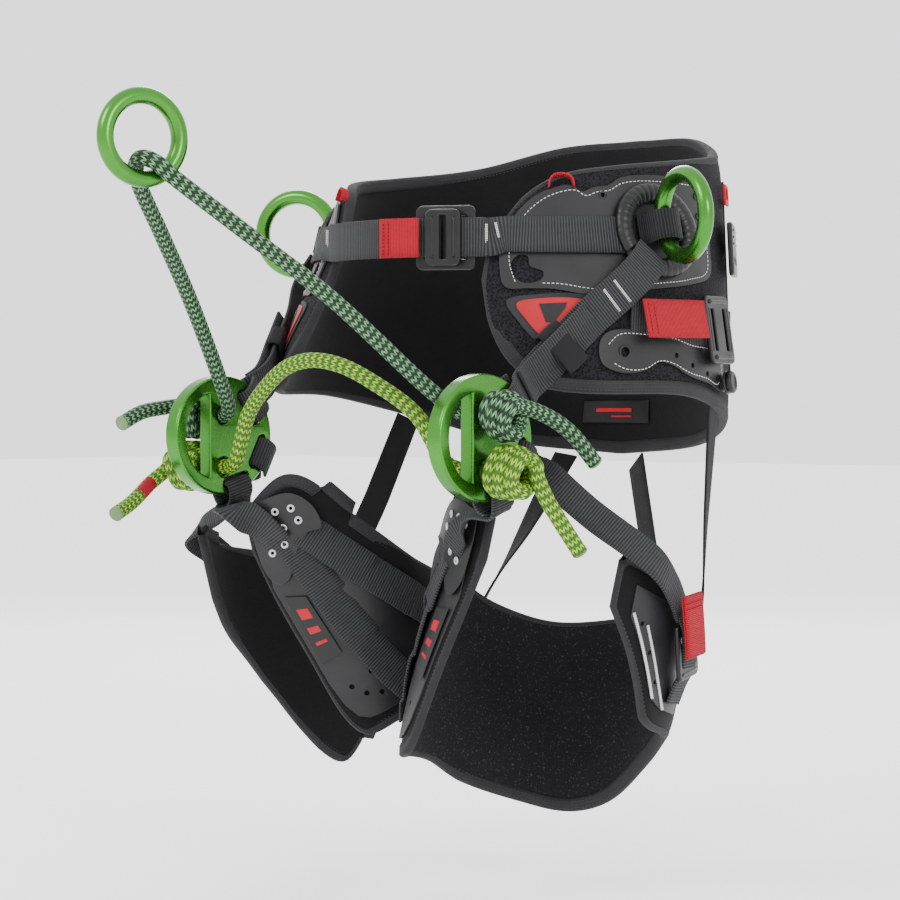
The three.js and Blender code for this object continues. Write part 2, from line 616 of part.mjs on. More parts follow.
function legGroup(side, turn, z, off) {
  const group = new THREE.Group();
  const out = legOut(side, turn);
  const up = V(0, -0.12, 1);
  up.addScaledVector(out, -up.dot(out)).normalize();
  group.quaternion.setFromRotationMatrix(new THREE.Matrix4().makeBasis(up.clone().cross(out), up, out));
  group.position.copy(legPoint(side, turn, z, off));
  scene.add(group);
  return group;
}

// Elastic risers, from the belt's lower edge to the leg pad's outer face.
const RISERS = {
  left: { inner_riser: { belt: [5, -165], leg: [-9, -294] }, outer_riser: { belt: [74, -123], leg: [-48, -286] } },
  right: { inner_riser: { belt: [16, -160], leg: [48, -322] }, outer_riser: { belt: [61, -130.5], leg: [-34, -286] } },
};

function risers(side, name) {
  for (const [riser, ends] of Object.entries(RISERS[name])) {
    const [angle, z] = ends.belt;
    const [turn, legZ] = ends.leg;
    const top = beltPoint(side * angle, z, -PAD / 2);
    const low = legPoint(side, turn, legZ + 10, LEG_PAD + 5.5);
    const path = [top, top.clone().lerp(low, 0.5), low, legPoint(side, turn, legZ - 14, LEG_PAD + 1.8)];
    const facing = (t) => beltFrame(side * angle, z).out.lerp(legOut(side, turn), t);
    add(`${name}_${riser}`, faceRibbon(path, facing, ELASTIC, 1.6, 12), COLOURS.elastic);
  }
}

// ---- small pieces on the belt ----

function smallPieces(side, name) {
  const button = new THREE.CylinderGeometry(8, 8.6, 9, 20).rotateX(Math.PI / 2).translate(0, 0, 4.5);
  beltGroup(side, 74, -104, 3).add(add(`${name}_cord_lock`, button, COLOURS.plastic, 0.4));

  const loopShape = slottedPlate(26, 16, 4, 2, [[0, 1, 19, 8]]);
  loopShape.translate(0, 8, 1);
  beltGroup(side, 62, 30, PLATE + 1).add(add(`${name}_rear_accessory_loop`, loopShape, COLOURS.red));
}

function gearHolder(side, name) {
  const shape = slottedPlate(56, 40, 6, 4, [[-14, -8, 14, 5], [8, -8, 14, 5]]).translate(-6, 0, 2);
  beltGroup(side, 60, -4, PLATE + 3).add(add(`${name}_gear_holder`, shape, COLOURS.plastic, 0.5));
}

// ---- the whole saddle ----

add('hip_pad', hipPad(), COLOURS.pad);
add('back_plate', backPlate(), COLOURS.laminate, 0.6);
gearPanel();
waistBuckle();
for (const [side, name] of [[1, 'left'], [-1, 'right']]) {
  beltPlates(side, name);
  hip(side, name);
  add(`${name}_waist_strap`, waistStrap(side, BUCKLE_X + side * 2), COLOURS.webbing);
  add(`${name}_side_strap`, sideStrap(side), COLOURS.webbing);
  sideHardware(side, name);
  gearHolder(side, name);
  smallPieces(side, name);
  bridgeRing(side, name);
  add(`${name}_dark_knot`, knot(side, DARK_Z, DARK_KNOT.radius, DARK_KNOT.length, TAILS.dark[name]), COLOURS.dark);
  add(`${name}_lime_knot`, knot(side, LIME_Z, LIME_KNOT.radius, LIME_KNOT.length, TAILS.lime[name]), COLOURS.lime);
  legLoop(side, name);
  risers(side, name);
}
add('dark_bridge_rope', rope(DARK_HALF, 80), COLOURS.dark);
add('lime_bridge_rope', rope(LIME_HALF, 48), COLOURS.lime);
centreRing();

export default scene;
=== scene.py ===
"""Looks of the tree climbing saddle: pads, laminate, webbing, ropes, knots and hardware."""
import math

import bmesh
import bpy
import numpy as np
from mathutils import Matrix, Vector


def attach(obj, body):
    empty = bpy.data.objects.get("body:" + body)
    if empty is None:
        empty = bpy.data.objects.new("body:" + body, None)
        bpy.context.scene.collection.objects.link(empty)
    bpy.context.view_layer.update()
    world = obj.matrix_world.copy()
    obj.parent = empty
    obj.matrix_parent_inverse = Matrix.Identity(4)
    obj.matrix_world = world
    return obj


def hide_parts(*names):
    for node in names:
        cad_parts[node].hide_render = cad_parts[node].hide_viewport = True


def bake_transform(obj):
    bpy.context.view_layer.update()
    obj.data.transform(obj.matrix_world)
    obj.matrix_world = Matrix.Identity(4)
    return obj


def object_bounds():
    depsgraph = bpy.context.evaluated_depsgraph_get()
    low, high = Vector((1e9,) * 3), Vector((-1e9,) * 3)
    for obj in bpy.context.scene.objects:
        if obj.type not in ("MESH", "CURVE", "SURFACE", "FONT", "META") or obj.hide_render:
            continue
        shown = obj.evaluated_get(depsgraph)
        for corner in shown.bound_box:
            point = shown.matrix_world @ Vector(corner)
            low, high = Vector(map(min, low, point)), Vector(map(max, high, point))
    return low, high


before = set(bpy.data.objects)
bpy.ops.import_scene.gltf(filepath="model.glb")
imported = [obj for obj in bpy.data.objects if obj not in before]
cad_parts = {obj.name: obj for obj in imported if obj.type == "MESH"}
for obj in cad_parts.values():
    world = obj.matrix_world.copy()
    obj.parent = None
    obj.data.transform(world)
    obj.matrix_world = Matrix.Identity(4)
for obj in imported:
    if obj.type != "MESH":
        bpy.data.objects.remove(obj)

CAD_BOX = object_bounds()
MM = 0.001
UP = Vector((0, 0, 1))


def V(x, y, z):
    return Vector((x, y, z))


# ---------------------------------------------------------------- camera, floor and light

CAMERA_TARGET = V(-0.032, -0.027, -0.154)
CAMERA_AZIMUTH, CAMERA_ELEVATION = math.radians(40), math.radians(1)
CAMERA_DISTANCE, CAMERA_LENS, CAMERA_SENSOR = 2.2, 115.8, 36
FLOOR_GAP, FLOOR_HALF, FLOOR_COLOUR = 0.06, 12, (0.93, 0.93, 0.93)
WORLD_STRENGTH = 1.9


def make_camera():
    azimuth, elevation = CAMERA_AZIMUTH, CAMERA_ELEVATION
    back = V(math.sin(azimuth) * math.cos(elevation), -math.cos(azimuth) * math.cos(elevation),
             math.sin(elevation))
    data = bpy.data.cameras.new("camera")
    data.sensor_width, data.lens = CAMERA_SENSOR, CAMERA_LENS
    camera = bpy.data.objects.new("camera", data)
    camera.location = CAMERA_TARGET + back * CAMERA_DISTANCE
    camera.rotation_euler = (-back).to_track_quat("-Z", "Y").to_euler()
    bpy.context.scene.collection.objects.link(camera)
    bpy.context.scene.camera = camera


def area_light(name, place, aim, size, power):
    data = bpy.data.lights.new(name, "AREA")
    data.shape, data.size, data.energy = "DISK", size, power
    lamp = bpy.data.objects.new(name, data)
    lamp.location = place
    lamp.rotation_euler = (Vector(aim) - Vector(place)).to_track_quat("-Z", "Y").to_euler()
    bpy.context.scene.collection.objects.link(lamp)


def make_stage():
    level = CAD_BOX[0].z - FLOOR_GAP
    corners = ((-1, -1), (1, -1), (1, 1), (-1, 1))
    floor = build("floor", [V(x * FLOOR_HALF, y * FLOOR_HALF, level) for x, y in corners], [(0, 1, 2, 3)])
    paint = Nodes("studio_floor", FLOOR_COLOUR, 0.9)
    paint.set("Emission Color", (1, 1, 1, 1))
    paint.set("Emission Strength", 0.5)
    floor.data.materials.append(paint.material)
    world = bpy.data.worlds.new("studio")
    bpy.context.scene.world = world
    world.use_nodes = True
    background = world.node_tree.nodes["Background"].inputs
    background["Color"].default_value = (1, 1, 1, 1)
    background["Strength"].default_value = WORLD_STRENGTH
    area_light("key", (-0.4, -2.2, 1.5), (0, 0, -0.1), 1.2, 36)
    area_light("side", (2.4, -0.8, 0.7), (0, 0, -0.15), 1.0, 26)
    area_light("rim", (-1.6, 1.8, 1.2), (0, 0, -0.1), 1.0, 30)


# ---------------------------------------------------------------- materials

GLOSSY_SPECULAR, CLOTH_SPECULAR, COATED_SPECULAR, PLASTIC_SPECULAR, SHEEN = 0.5, 0.16, 0.28, 0.3, 0.03


class Nodes:
    """A new material, and a short way to write its node graph."""

    def __init__(self, name, colour, roughness, metallic=0.0, specular=None):
        self.material = bpy.data.materials.new(name)
        self.material.use_nodes = True
        self.tree = self.material.node_tree
        self.shader = self.tree.nodes["Principled BSDF"]
        if specular is None:
            specular = GLOSSY_SPECULAR if roughness < 0.4 else CLOTH_SPECULAR
        self.set("Base Color", (*colour, 1))
        self.set("Roughness", roughness)
        self.set("Metallic", metallic)
        self.set("Specular IOR Level", specular)

    def set(self, name, value):
        self.shader.inputs[name].default_value = value

    def add(self, kind, inputs=(), **settings):
        node = self.tree.nodes.new(kind)
        for key, value in settings.items():
            setattr(node, key, value)
        for key, value in dict(inputs).items():
            if isinstance(value, bpy.types.NodeSocket):
                self.tree.links.new(value, node.inputs[key])
            else:
                node.inputs[key].default_value = value
        return node

    def math(self, operation, *values):
        return self.add("ShaderNodeMath", dict(enumerate(values)), operation=operation).outputs[0]

    def mul(self, a, b):
        return self.math("MULTIPLY", a, b)

    def plus(self, a, b):
        return self.math("ADD", a, b)

    def power(self, a, b):
        return self.math("POWER", a, b)

    def sine(self, a):
        return self.math("SINE", a)

    def fract(self, a):
        return self.math("FRACT", a)

    def floor(self, a):
        return self.math("FLOOR", a)

    def mix(self, factor, a, b):
        node = self.add("ShaderNodeMix", data_type="RGBA")
        for key, value in (("Factor", factor), ("A", a), ("B", b)):
            kind = "VALUE" if key == "Factor" else "RGBA"
            socket = [s for s in node.inputs if s.name == key and s.type == kind][0]
            if isinstance(value, bpy.types.NodeSocket):
                self.tree.links.new(value, socket)
            else:
                socket.default_value = value if key == "Factor" else (*value, 1)
        return [s for s in node.outputs if s.type == "RGBA"][0]

    def ramp(self, value, low, high):
        node = self.add("ShaderNodeMapRange", {"Value": value, "From Min": low, "From Max": high})
        return node.outputs[0]

    def noise(self, scale, detail):
        inputs = {"Scale": scale, "Detail": detail, "Vector": self.place()}
        return self.add("ShaderNodeTexNoise", inputs).outputs["Fac"]

    def cells(self, scale):
        return self.add("ShaderNodeTexVoronoi", {"Scale": scale, "Vector": self.place()}).outputs["Distance"]

    def place(self):
        return self.add("ShaderNodeTexCoord").outputs["Object"]

    def uv(self):
        coordinates = self.add("ShaderNodeUVMap")
        split = self.add("ShaderNodeSeparateXYZ", {0: coordinates.outputs[0]})
        return split.outputs[0], split.outputs[1]

    def colour(self, socket):
        self.tree.links.new(socket, self.shader.inputs["Base Color"])

    def roughness(self, value, low, high):
        spread = self.add("ShaderNodeMapRange", {"Value": value, "To Min": low, "To Max": high})
        self.tree.links.new(spread.outputs[0], self.shader.inputs["Roughness"])

    def bump(self, height, distance, strength=1.0):
        node = self.add("ShaderNodeBump", {"Height": height, "Distance": distance, "Strength": strength})
        self.tree.links.new(node.outputs[0], self.shader.inputs["Normal"])


def shade(colour, factor):
    return tuple(min(c * factor, 1) for c in colour)


def webbing(name, colour, rib=2.1, gap_shade=0.55):
    """Woven strap: cross ribs along its length, fine threads across its width. Its colour has painted shade
    in the gaps between the ribs and a painted highlight on their tops. UV is in mm.
    """
    n = Nodes(name, colour, 0.72)
    u, v = n.uv()
    wobble = n.mul(n.noise(900, 1), 0.35)
    ribs = n.sine(n.mul(n.plus(v, wobble), 2 * math.pi / rib))
    threads = n.sine(n.mul(u, 2 * math.pi / 0.9))
    height = n.plus(n.mul(ribs, 0.5), n.mul(threads, 0.18))
    # painted light: the rib relief sets the colour, darkened as painted shade in the rib gaps and brightened
    # as a painted highlight on the rib tops
    light = n.ramp(height, -0.68, 0.68)
    patchy = n.ramp(n.noise(45, 4), 0.3, 0.75)
    base = n.mix(light, shade(colour, 1 - gap_shade), shade(colour, 1.7))
    n.colour(n.mix(n.mul(patchy, 0.2), base, shade(colour, 0.7)))
    n.bump(height, 0.0006, 1.0)
    n.set("Sheen Weight", SHEEN)
    return n.material


def smooth_tape(name, colour):
    """Plain tape or binding with a fine twill."""
    n = Nodes(name, colour, 0.8)
    u, v = n.uv()
    twill = n.sine(n.mul(n.plus(n.mul(u, 1.2), v), 2 * math.pi / 1.1))
    cloud = n.ramp(n.noise(70, 4), 0.3, 0.7)
    base = n.mix(n.ramp(twill, -1, 1), shade(colour, 0.6), shade(colour, 1.25))
    n.colour(n.mix(n.mul(cloud, 0.35), base, shade(colour, 1.5)))
    n.bump(twill, 0.00018, 0.8)
    n.set("Sheen Weight", SHEEN)
    return n.material


def knit(name, colour, cell=0.0011, fleck=0.0, fleck_colour=(0.3, 0.3, 0.33)):
    """Brushed lining: tiny loops, soft clouding and, where asked, pale flecks."""
    n = Nodes(name, colour, 0.9)
    loops = n.cells(1 / cell)
    cloud = n.ramp(n.noise(22, 5), 0.3, 0.75)
    base = n.mix(cloud, shade(colour, 0.75), shade(colour, 1.3))
    base = n.mix(n.mul(n.ramp(loops, 0.0, 0.6), 0.45), base, shade(colour, 0.45))
    if fleck:
        flecks = n.ramp(n.noise(650, 2), 0.6, 0.75)
        base = n.mix(n.mul(flecks, fleck), base, fleck_colour)
    n.colour(base)
    n.bump(n.math("SUBTRACT", n.mul(n.noise(14, 3), 2.0), loops), 0.0004, 0.7)
    n.set("Sheen Weight", SHEEN)
    return n.material


def spacer_mesh(name, colour):
    """Open spacer mesh: a honeycomb of small dark holes."""
    n = Nodes(name, colour, 0.85)
    holes = n.cells(1 / 0.0019)
    rim = n.ramp(holes, 0.25, 0.55)
    n.colour(n.mix(rim, shade(colour, 0.25), shade(colour, 1.5)))
    n.bump(rim, 0.0007, 0.9)
    return n.material


def laminate(name, colour, roughness=0.42):
    """Coated laminate with a fine leathery grain, dull patches and a satin face."""
    n = Nodes(name, colour, roughness, specular=COATED_SPECULAR)
    grain = n.plus(n.noise(1500, 3), n.mul(n.cells(900), 0.4))
    cloud = n.ramp(n.noise(28, 5), 0.3, 0.75)
    n.colour(n.mix(cloud, shade(colour, 0.8), shade(colour, 1.3)))
    n.roughness(n.noise(90, 4), roughness - 0.08, roughness + 0.2)
    n.bump(n.plus(n.mul(grain, 0.4), n.mul(n.noise(35, 2), 2.2)), 0.0003, 0.6)
    return n.material


def plastic(name, colour, roughness=0.28):
    """Moulded plastic with a faint spark texture and handling marks."""
    n = Nodes(name, colour, roughness, specular=PLASTIC_SPECULAR)
    marks = n.ramp(n.noise(60, 5), 0.35, 0.75)
    n.colour(n.mix(marks, colour, shade(colour, 1.5)))
    n.roughness(marks, roughness, roughness + 0.18)
    n.bump(n.noise(2200, 2), 0.00008, 0.5)
    return n.material


def anodised(name, colour):
    """Green anodised aluminium: satin metal with faint machining lines and rub marks."""
    n = Nodes(name, colour, 0.26, 0.92)
    rub = n.ramp(n.noise(120, 6), 0.55, 0.8)
    tone = n.ramp(n.noise(16, 3), 0.3, 0.7)
    base = n.mix(tone, shade(colour, 0.85), shade(colour, 1.15))
    n.colour(n.mix(n.mul(rub, 0.3), base, shade(colour, 1.3)))
    n.roughness(n.noise(340, 4), 0.24, 0.31)
    n.bump(n.noise(2600, 2), 0.00003, 0.4)
    n.set("Coat Weight", 0.15)
    return n.material


def thread(name, colour):
    """Sewing thread: short twisted stitches."""
    n = Nodes(name, colour, 0.65)
    ply = n.noise(2600, 2)
    n.colour(n.mix(ply, shade(colour, 0.6), shade(colour, 1.2)))
    n.bump(ply, 0.0001, 0.6)
    return n.material


def reflective(name):
    """Reflective tape with a fine printed grid."""
    n = Nodes(name, (0.55, 0.56, 0.56), 0.35, 0.3)
    u, v = n.uv()
    grid = n.mul(n.sine(n.mul(u, 4.5)), n.sine(n.mul(v, 4.5)))
    n.colour(n.mix(n.ramp(grid, -0.3, 0.6), (0.3, 0.3, 0.3), (0.75, 0.76, 0.75)))
    n.bump(grid, 0.0001, 0.5)
    return n.material


def braid(name, dark, light, accent, columns=16, pitch=3.6, share=0.5):
    """Braided cover: columns of slanted plaits that lean in turn, so that each pair makes a V. u runs round
    the rope from 0 to 1 and v along it in millimetres."""
    n = Nodes(name, dark, 0.62)
    u, v = n.uv()
    column = n.mul(u, columns)
    inside = n.fract(column)
    lean = n.math("SUBTRACT", n.mul(n.math("MODULO", n.floor(column), 2.0), 2.0), 1.0)
    slant = n.mul(n.math("SUBTRACT", inside, 0.5), lean)
    along = n.plus(n.math("DIVIDE", v, pitch), slant)
    step = n.fract(along)
    order = n.math("MODULO", n.floor(along), 2.0)
    plait = n.sine(n.mul(step, math.pi))
    across = n.sine(n.mul(inside, math.pi))
    height = n.mul(n.power(plait, 0.5), n.power(across, 0.5))
    wide = n.math("GREATER_THAN", n.fract(n.math("DIVIDE", n.floor(column), 4.0)), share)
    plain = n.mix(order, dark, light)
    tone = n.mix(wide, plain, n.mix(order, dark, accent))
    fibre = n.ramp(n.noise(1800, 2), 0.3, 0.7)
    tone = n.mix(n.mul(fibre, 0.35), tone, shade(light, 0.5))
    # painted shade: where the relief is low, in the grooves between the plaits, the colour is darkened to a
    # fifth of the dark strand colour
    n.colour(n.mix(n.ramp(height, 0.1, 0.7), shade(dark, 0.2), tone))
    n.bump(height, 0.0006, 0.9)
    return n.material


# linear colours
GREEN = (0.045, 0.20, 0.022)
RED = (0.30, 0.0022, 0.012)
GREY_WEB = (0.030, 0.031, 0.033)
DARK_WEB = (0.016, 0.016, 0.018)
BLACK = (0.0045, 0.0045, 0.005)

MATERIALS = {
    "web_grey": webbing("web_grey", GREY_WEB, gap_shade=0.9),
    "web_dark": webbing("web_dark", DARK_WEB, gap_shade=0.9),
    "web_red": webbing("web_red", RED, rib=1.3, gap_shade=0.3),
    "binding": smooth_tape("binding", (0.021, 0.021, 0.0225)),
    "elastic": smooth_tape("elastic", (0.009, 0.009, 0.010)),
    "liner": knit("liner", (0.005, 0.005, 0.0056)),
    "fleece": knit("fleece", (0.007, 0.007, 0.0085), 0.0013, 0.12),
    "mesh": spacer_mesh("mesh", (0.006, 0.006, 0.0075)),
    "laminate": laminate("laminate", (0.0115, 0.0115, 0.0125), 0.36),
    "laminate_edge": laminate("laminate_edge", (0.27, 0.27, 0.24), 0.6),
    "plastic": plastic("plastic", BLACK),
    "satin_plastic": plastic("satin_plastic", (0.006, 0.006, 0.0065), 0.36),
    "green": anodised("green", GREEN),
    "thread_dark": thread("thread_dark", (0.035, 0.035, 0.035)),
    "thread_light": thread("thread_light", (0.62, 0.62, 0.60)),
    "thread_red": thread("thread_red", (0.12, 0.0015, 0.006)),
    "reflective": reflective("reflective"),
    "badge": laminate("badge", (0.32, 0.003, 0.009), 0.45),
    "rope_end": laminate("rope_end", (0.10, 0.17, 0.07), 0.5),
    "dark_rope": braid("dark_rope", (0.004, 0.009, 0.006), (0.16, 0.34, 0.17), (0.06, 0.16, 0.07), 20, 2.9),
    "lime_rope": braid("lime_rope", (0.04, 0.12, 0.012), (0.26, 0.52, 0.04), (0.50, 0.60, 0.06), 20, 2.9),
}


# ---------------------------------------------------------------- mesh building

def build(name, verts, faces, uvs=None, material=None):
    """A mesh object from points in metres. uvs holds one pair for each face corner."""
    mesh = bpy.data.meshes.new(name)
    mesh.from_pydata([tuple(p) for p in verts], [], faces)
    if uvs is not None:
        layer = mesh.uv_layers.new(name="UVMap")
        layer.data.foreach_set("uv", [x for pair in uvs for x in pair])
    mesh.polygons.foreach_set("use_smooth", [True] * len(mesh.polygons))
    piece = bpy.data.objects.new(name, mesh)
    bpy.context.scene.collection.objects.link(piece)
    if material:
        mesh.materials.append(MATERIALS[material])
    mesh.update()
    return piece


def band_faces(rings, count, base=0):
    """Four-sided faces between closed rings of points that follow each other in a list."""
    faces = []
    for row in range(base, base + (rings - 1) * count, count):
        for j in range(count):
            k = (j + 1) % count
            faces.append((row + j, row + k, row + count + k, row + count + j))
    return faces


def round_about(centre, side, up, radius, steps):
    """A ring of points round a centre, in the plane of side and up."""
    turns = [2 * math.pi * k / steps for k in range(steps)]
    return [centre + (side * math.cos(a) + up * math.sin(a)) * radius for a in turns]


def torus_rings(centre, axis, radius, section, height, around, sides):
    """Closed rings of points of a torus round an axis, all in mm but the centre."""
    side = axis.orthogonal().normalized()
    up = axis.cross(side)
    turns = [2 * math.pi * m / sides for m in range(sides)]
    rings = []
    for k in range(around + 1):
        a = 2 * math.pi * k / around
        out = side * math.cos(a) + up * math.sin(a)
        rings.append([centre + out * ((radius + section * math.cos(b)) * MM)
                      + axis * (height * math.sin(b) * MM)
                      for b in turns])
    return rings


def loft(name, rings, material, ring_uv=None, caps=True):
    """A skin through rings of points. ring_uv(i, j) gives a corner's UV, with j up to the ring's length."""
    count, last = len(rings[0]), len(rings) - 1
    faces = band_faces(len(rings), count)
    uvs = None
    if ring_uv:
        uvs = [ring_uv(i + di, j + dj) for i in range(last) for j in range(count)
               for di, dj in ((0, 0), (0, 1), (1, 1), (1, 0))]
    if caps:
        faces.append(tuple(range(count))[::-1])
        faces.append(tuple(last * count + j for j in range(count)))
        if ring_uv:
            uvs += [ring_uv(0, j) for j in range(count)][::-1]
            uvs += [ring_uv(last, j) for j in range(count)]
    piece = build(name, [p for ring in rings for p in ring], faces, uvs, material)
    outwards(piece)
    return piece


def outwards(piece):
    bm = bmesh.new()
    bm.from_mesh(piece.data)
    bmesh.ops.recalc_face_normals(bm, faces=bm.faces)
    bm.to_mesh(piece.data)
    bm.free()


def riding(piece, body, slot_name, *nodes):
    """Fixes a piece to a CAD body, in place of the nodes it stands for."""
    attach(piece, body)
    if nodes:
        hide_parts(*nodes)
    return piece


def spline(points, count):
    """Points evenly spaced by length along a smooth curve through the given ones."""
    P = np.array([tuple(p) for p in points], float)
    ends = [2 * P[0] - P[1], *P, 2 * P[-1] - P[-2]]
    dense = []
    for i in range(1, len(ends) - 2):
        a, b, c, d = ends[i - 1:i + 3]
        steps = [0.0]
        for s, e in ((a, b), (b, c), (c, d)):
            steps.append(steps[-1] + max(np.linalg.norm(e - s), 1e-9) ** 0.5)
        t0, t1, t2, t3 = steps
        for t in np.linspace(t1, t2, 24, endpoint=False):
            ab = (t1 - t) / (t1 - t0) * a + (t - t0) / (t1 - t0) * b
            bc = (t2 - t) / (t2 - t1) * b + (t - t1) / (t2 - t1) * c
            cd = (t3 - t) / (t3 - t2) * c + (t - t2) / (t3 - t2) * d
            abc = (t2 - t) / (t2 - t0) * ab + (t - t0) / (t2 - t0) * bc
            bcd = (t3 - t) / (t3 - t1) * bc + (t - t1) / (t3 - t1) * cd
            dense.append((t2 - t) / (t2 - t1) * abc + (t - t1) / (t2 - t1) * bcd)
    dense = np.array(dense + [P[-1]])
    length = np.concatenate([[0], np.cumsum(np.linalg.norm(np.diff(dense, axis=0), axis=1))])
    at = np.linspace(0, length[-1], count)
    return [Vector([np.interp(s, length, dense[:, k]) for k in range(3)]) for s in at]


def lengths_along(points):
    """How far along a line of points each point is, in mm."""
    travelled = [0.0]
    for a, b in zip(points, points[1:]):
        travelled.append(travelled[-1] + (b - a).length * 1000)
    return travelled


def tangents(path):
    last = len(path) - 1
    return [(path[min(i + 1, last)] - path[max(i - 1, 0)]).normalized() for i in range(len(path))]


STRAP_STEP, STRAP_EDGE = 0.0022, 0.35


def strap(name, path, wide, width, thick, material):
    """Webbing along a path. wide(t) is the direction of its width. Its UV is in mm."""
    rough = spline(path, 60)
    total = sum((b - a).length for a, b in zip(rough, rough[1:]))
    centres = spline(path, max(int(total / STRAP_STEP), 8))
    half, deep = width / 2, thick / 2
    corner = 1 - STRAP_EDGE * deep / half
    across = [(-1, 0), (-corner, 1), (-0.5, 1), (0, 1), (0.5, 1), (corner, 1), (1, 0), (corner, -1),
              (0.5, -1), (0, -1), (-0.5, -1), (-corner, -1)]
    rings = []
    for i, (centre, along) in enumerate(zip(centres, tangents(centres))):
        side = Vector(wide(i / (len(centres) - 1)))
        side = (side - along * side.dot(along)).normalized()
        up = along.cross(side)
        rings.append([centre + side * (x * half) + up * (y * deep) for x, y in across])
    widths = [(x * half) * 1000 for x, _ in across] + [-half * 1000]
    pace = total / (len(centres) - 1) * 1000
    return loft(name, rings, material, lambda i, j: (widths[j], i * pace))


def tube(name, centres, radius, material, sides):
    """A round tube along points, with u round it from 0 to 1 and v along it in mm."""
    rings = []
    directions = tangents(centres)
    side = directions[0].orthogonal().normalized()
    for centre, along in zip(centres, directions):
        side = (side - along * side.dot(along)).normalized()
        rings.append(round_about(centre, side, along.cross(side), radius, sides))
    travelled = lengths_along(centres)
    return loft(name, rings, material, lambda i, j: (j / sides, travelled[i]))


# ---------------------------------------------------------------- the two curved surfaces everything lies on

def smooth_value(pairs, at):
    """A smooth value through a few (station, value) pairs."""
    if at <= pairs[0][0]:
        return pairs[0][1]
    for i in range(len(pairs) - 1):
        (x0, y0), (x1, y1) = pairs[i], pairs[i + 1]
        if at <= x1:
            before, after = pairs[max(i - 1, 0)], pairs[min(i + 2, len(pairs) - 1)]
            m0 = (y1 - before[1]) / (x1 - before[0]) * (x1 - x0)
            m1 = (after[1] - y0) / (after[0] - x0) * (x1 - x0)
            t = (at - x0) / (x1 - x0)
            return ((2 * t ** 3 - 3 * t ** 2 + 1) * y0 + (t ** 3 - 2 * t ** 2 + t) * m0
                    + (3 * t ** 2 - 2 * t ** 3) * y1 + (t ** 3 - t ** 2) * m1)
    return pairs[-1][1]


BELT_TIP = 152
BELT_TOP = [(0, 91), (28, 88), (58, 70), (90, 60), (120, 52), (135, 45), (144, 31), (149, 12), (BELT_TIP, -6)]
BELT_BOTTOM = [(0, -158), (30, -150), (60, -128), (90, -112), (130, -108), (141, -90), (148, -62),
               (BELT_TIP, -30)]
PAD = 11


class Belt:
    """The belt's outer face: angle in degrees from the rear middle, height and distance outwards in mm."""

    def point(self, angle, z, off=0.0):
        drop = z + 110
        a, b = 178 - 0.194 * drop + off, 165 - 0.17 * drop + off
        turn = math.radians(angle)
        return V(a * math.sin(turn), -8 + 0.259 * drop + b * math.cos(turn), z) * MM

    def low(self, angle):
        return smooth_value(BELT_BOTTOM, abs(angle))

    def high(self, angle):
        return smooth_value(BELT_TOP, abs(angle))

    def normal(self, angle, z):
        return (self.point(angle, z, 1) - self.point(angle, z, 0)).normalized()

    per_degree, body = 2.8, "belt"


LEG_AXIS, LEG_RADIUS, LEG_PAD = (115, -80), 93, 9
LEG_ENDS = (-122, 170)
LEG_TOP = [(-122, -226), (-90, -246), (-40, -268), (0, -277), (36, -283), (63, -271), (90, -248), (119, -208),
           (137, -178), (150, -175), (170, -199)]
INNER_BOTTOM = [(134, -367), (140, -362), (146, -346), (154, -308), (163, -267), (170, -228)]
LEG_BOTTOM = {
    1: [(-122, -258), (-108, -289), (-98, -314), (-88, -338), (-66, -350), (-44, -358), (-25, -380),
        (-4, -408), (16, -418), (40, -411), (67, -396), (86, -379), (104, -373), (120, -371)] + INNER_BOTTOM,
    -1: [(-122, -276), (-114, -301), (-97, -334), (-85, -364), (-75, -394), (-65, -419), (-56, -428),
         (-46, -414), (-32, -384), (-15, -366), (10, -356), (50, -350), (84, -350), (104, -352),
         (120, -360)] + INNER_BOTTOM,
}
LEG_LEAN, LEG_SWAY, LEAN_LEVEL = 0.05, {1: 0.27, -1: -0.27}, -270
REAR_LIFT = {1: 0, -1: 28}


class Leg:
    """A leg loop's inner face: turn in degrees from the rear towards the inner thigh."""

    def __init__(self, side):
        self.side = side
        self.body = ("left" if side > 0 else "right") + "_leg_loop"

    def point(self, turn, z, off=0.0):
        radius, across, along = LEG_RADIUS + off, math.sin(math.radians(turn)), math.cos(math.radians(turn))
        below = z - LEAN_LEVEL
        x = LEG_AXIS[0] + LEG_LEAN * below - radius * across * (0.9 if across < 0 else 1)
        y = LEG_AXIS[1] + LEG_SWAY[self.side] * below + radius * along * (0.82 if along < 0 else 1)
        return V(self.side * x, y, z + REAR_LIFT[self.side] * (1 + along) / 2) * MM

    def low(self, turn):
        return smooth_value(LEG_BOTTOM[self.side], turn)

    def high(self, turn):
        return smooth_value(LEG_TOP, turn)

    def normal(self, turn, z):
        return (self.point(turn, z, 1) - self.point(turn, z, 0)).normalized()

    per_degree = 1.6


BELT = Belt()
LEGS = {1: Leg(1), -1: Leg(-1)}
SIDES = ((1, "left"), (-1, "right"))


# ---------------------------------------------------------------- pads, bindings and stitching

def ease_ends(u, first, last):
    """A station between two ends, closer together near them."""
    hold, w = 0.25, 2 * u - 1
    return (first + last) / 2 + (last - first) / 2 * ((1 + hold) * w - hold * w ** 3)


PAD_COLUMNS, PAD_ROWS, RIM_POINTS = 150, 28, 150


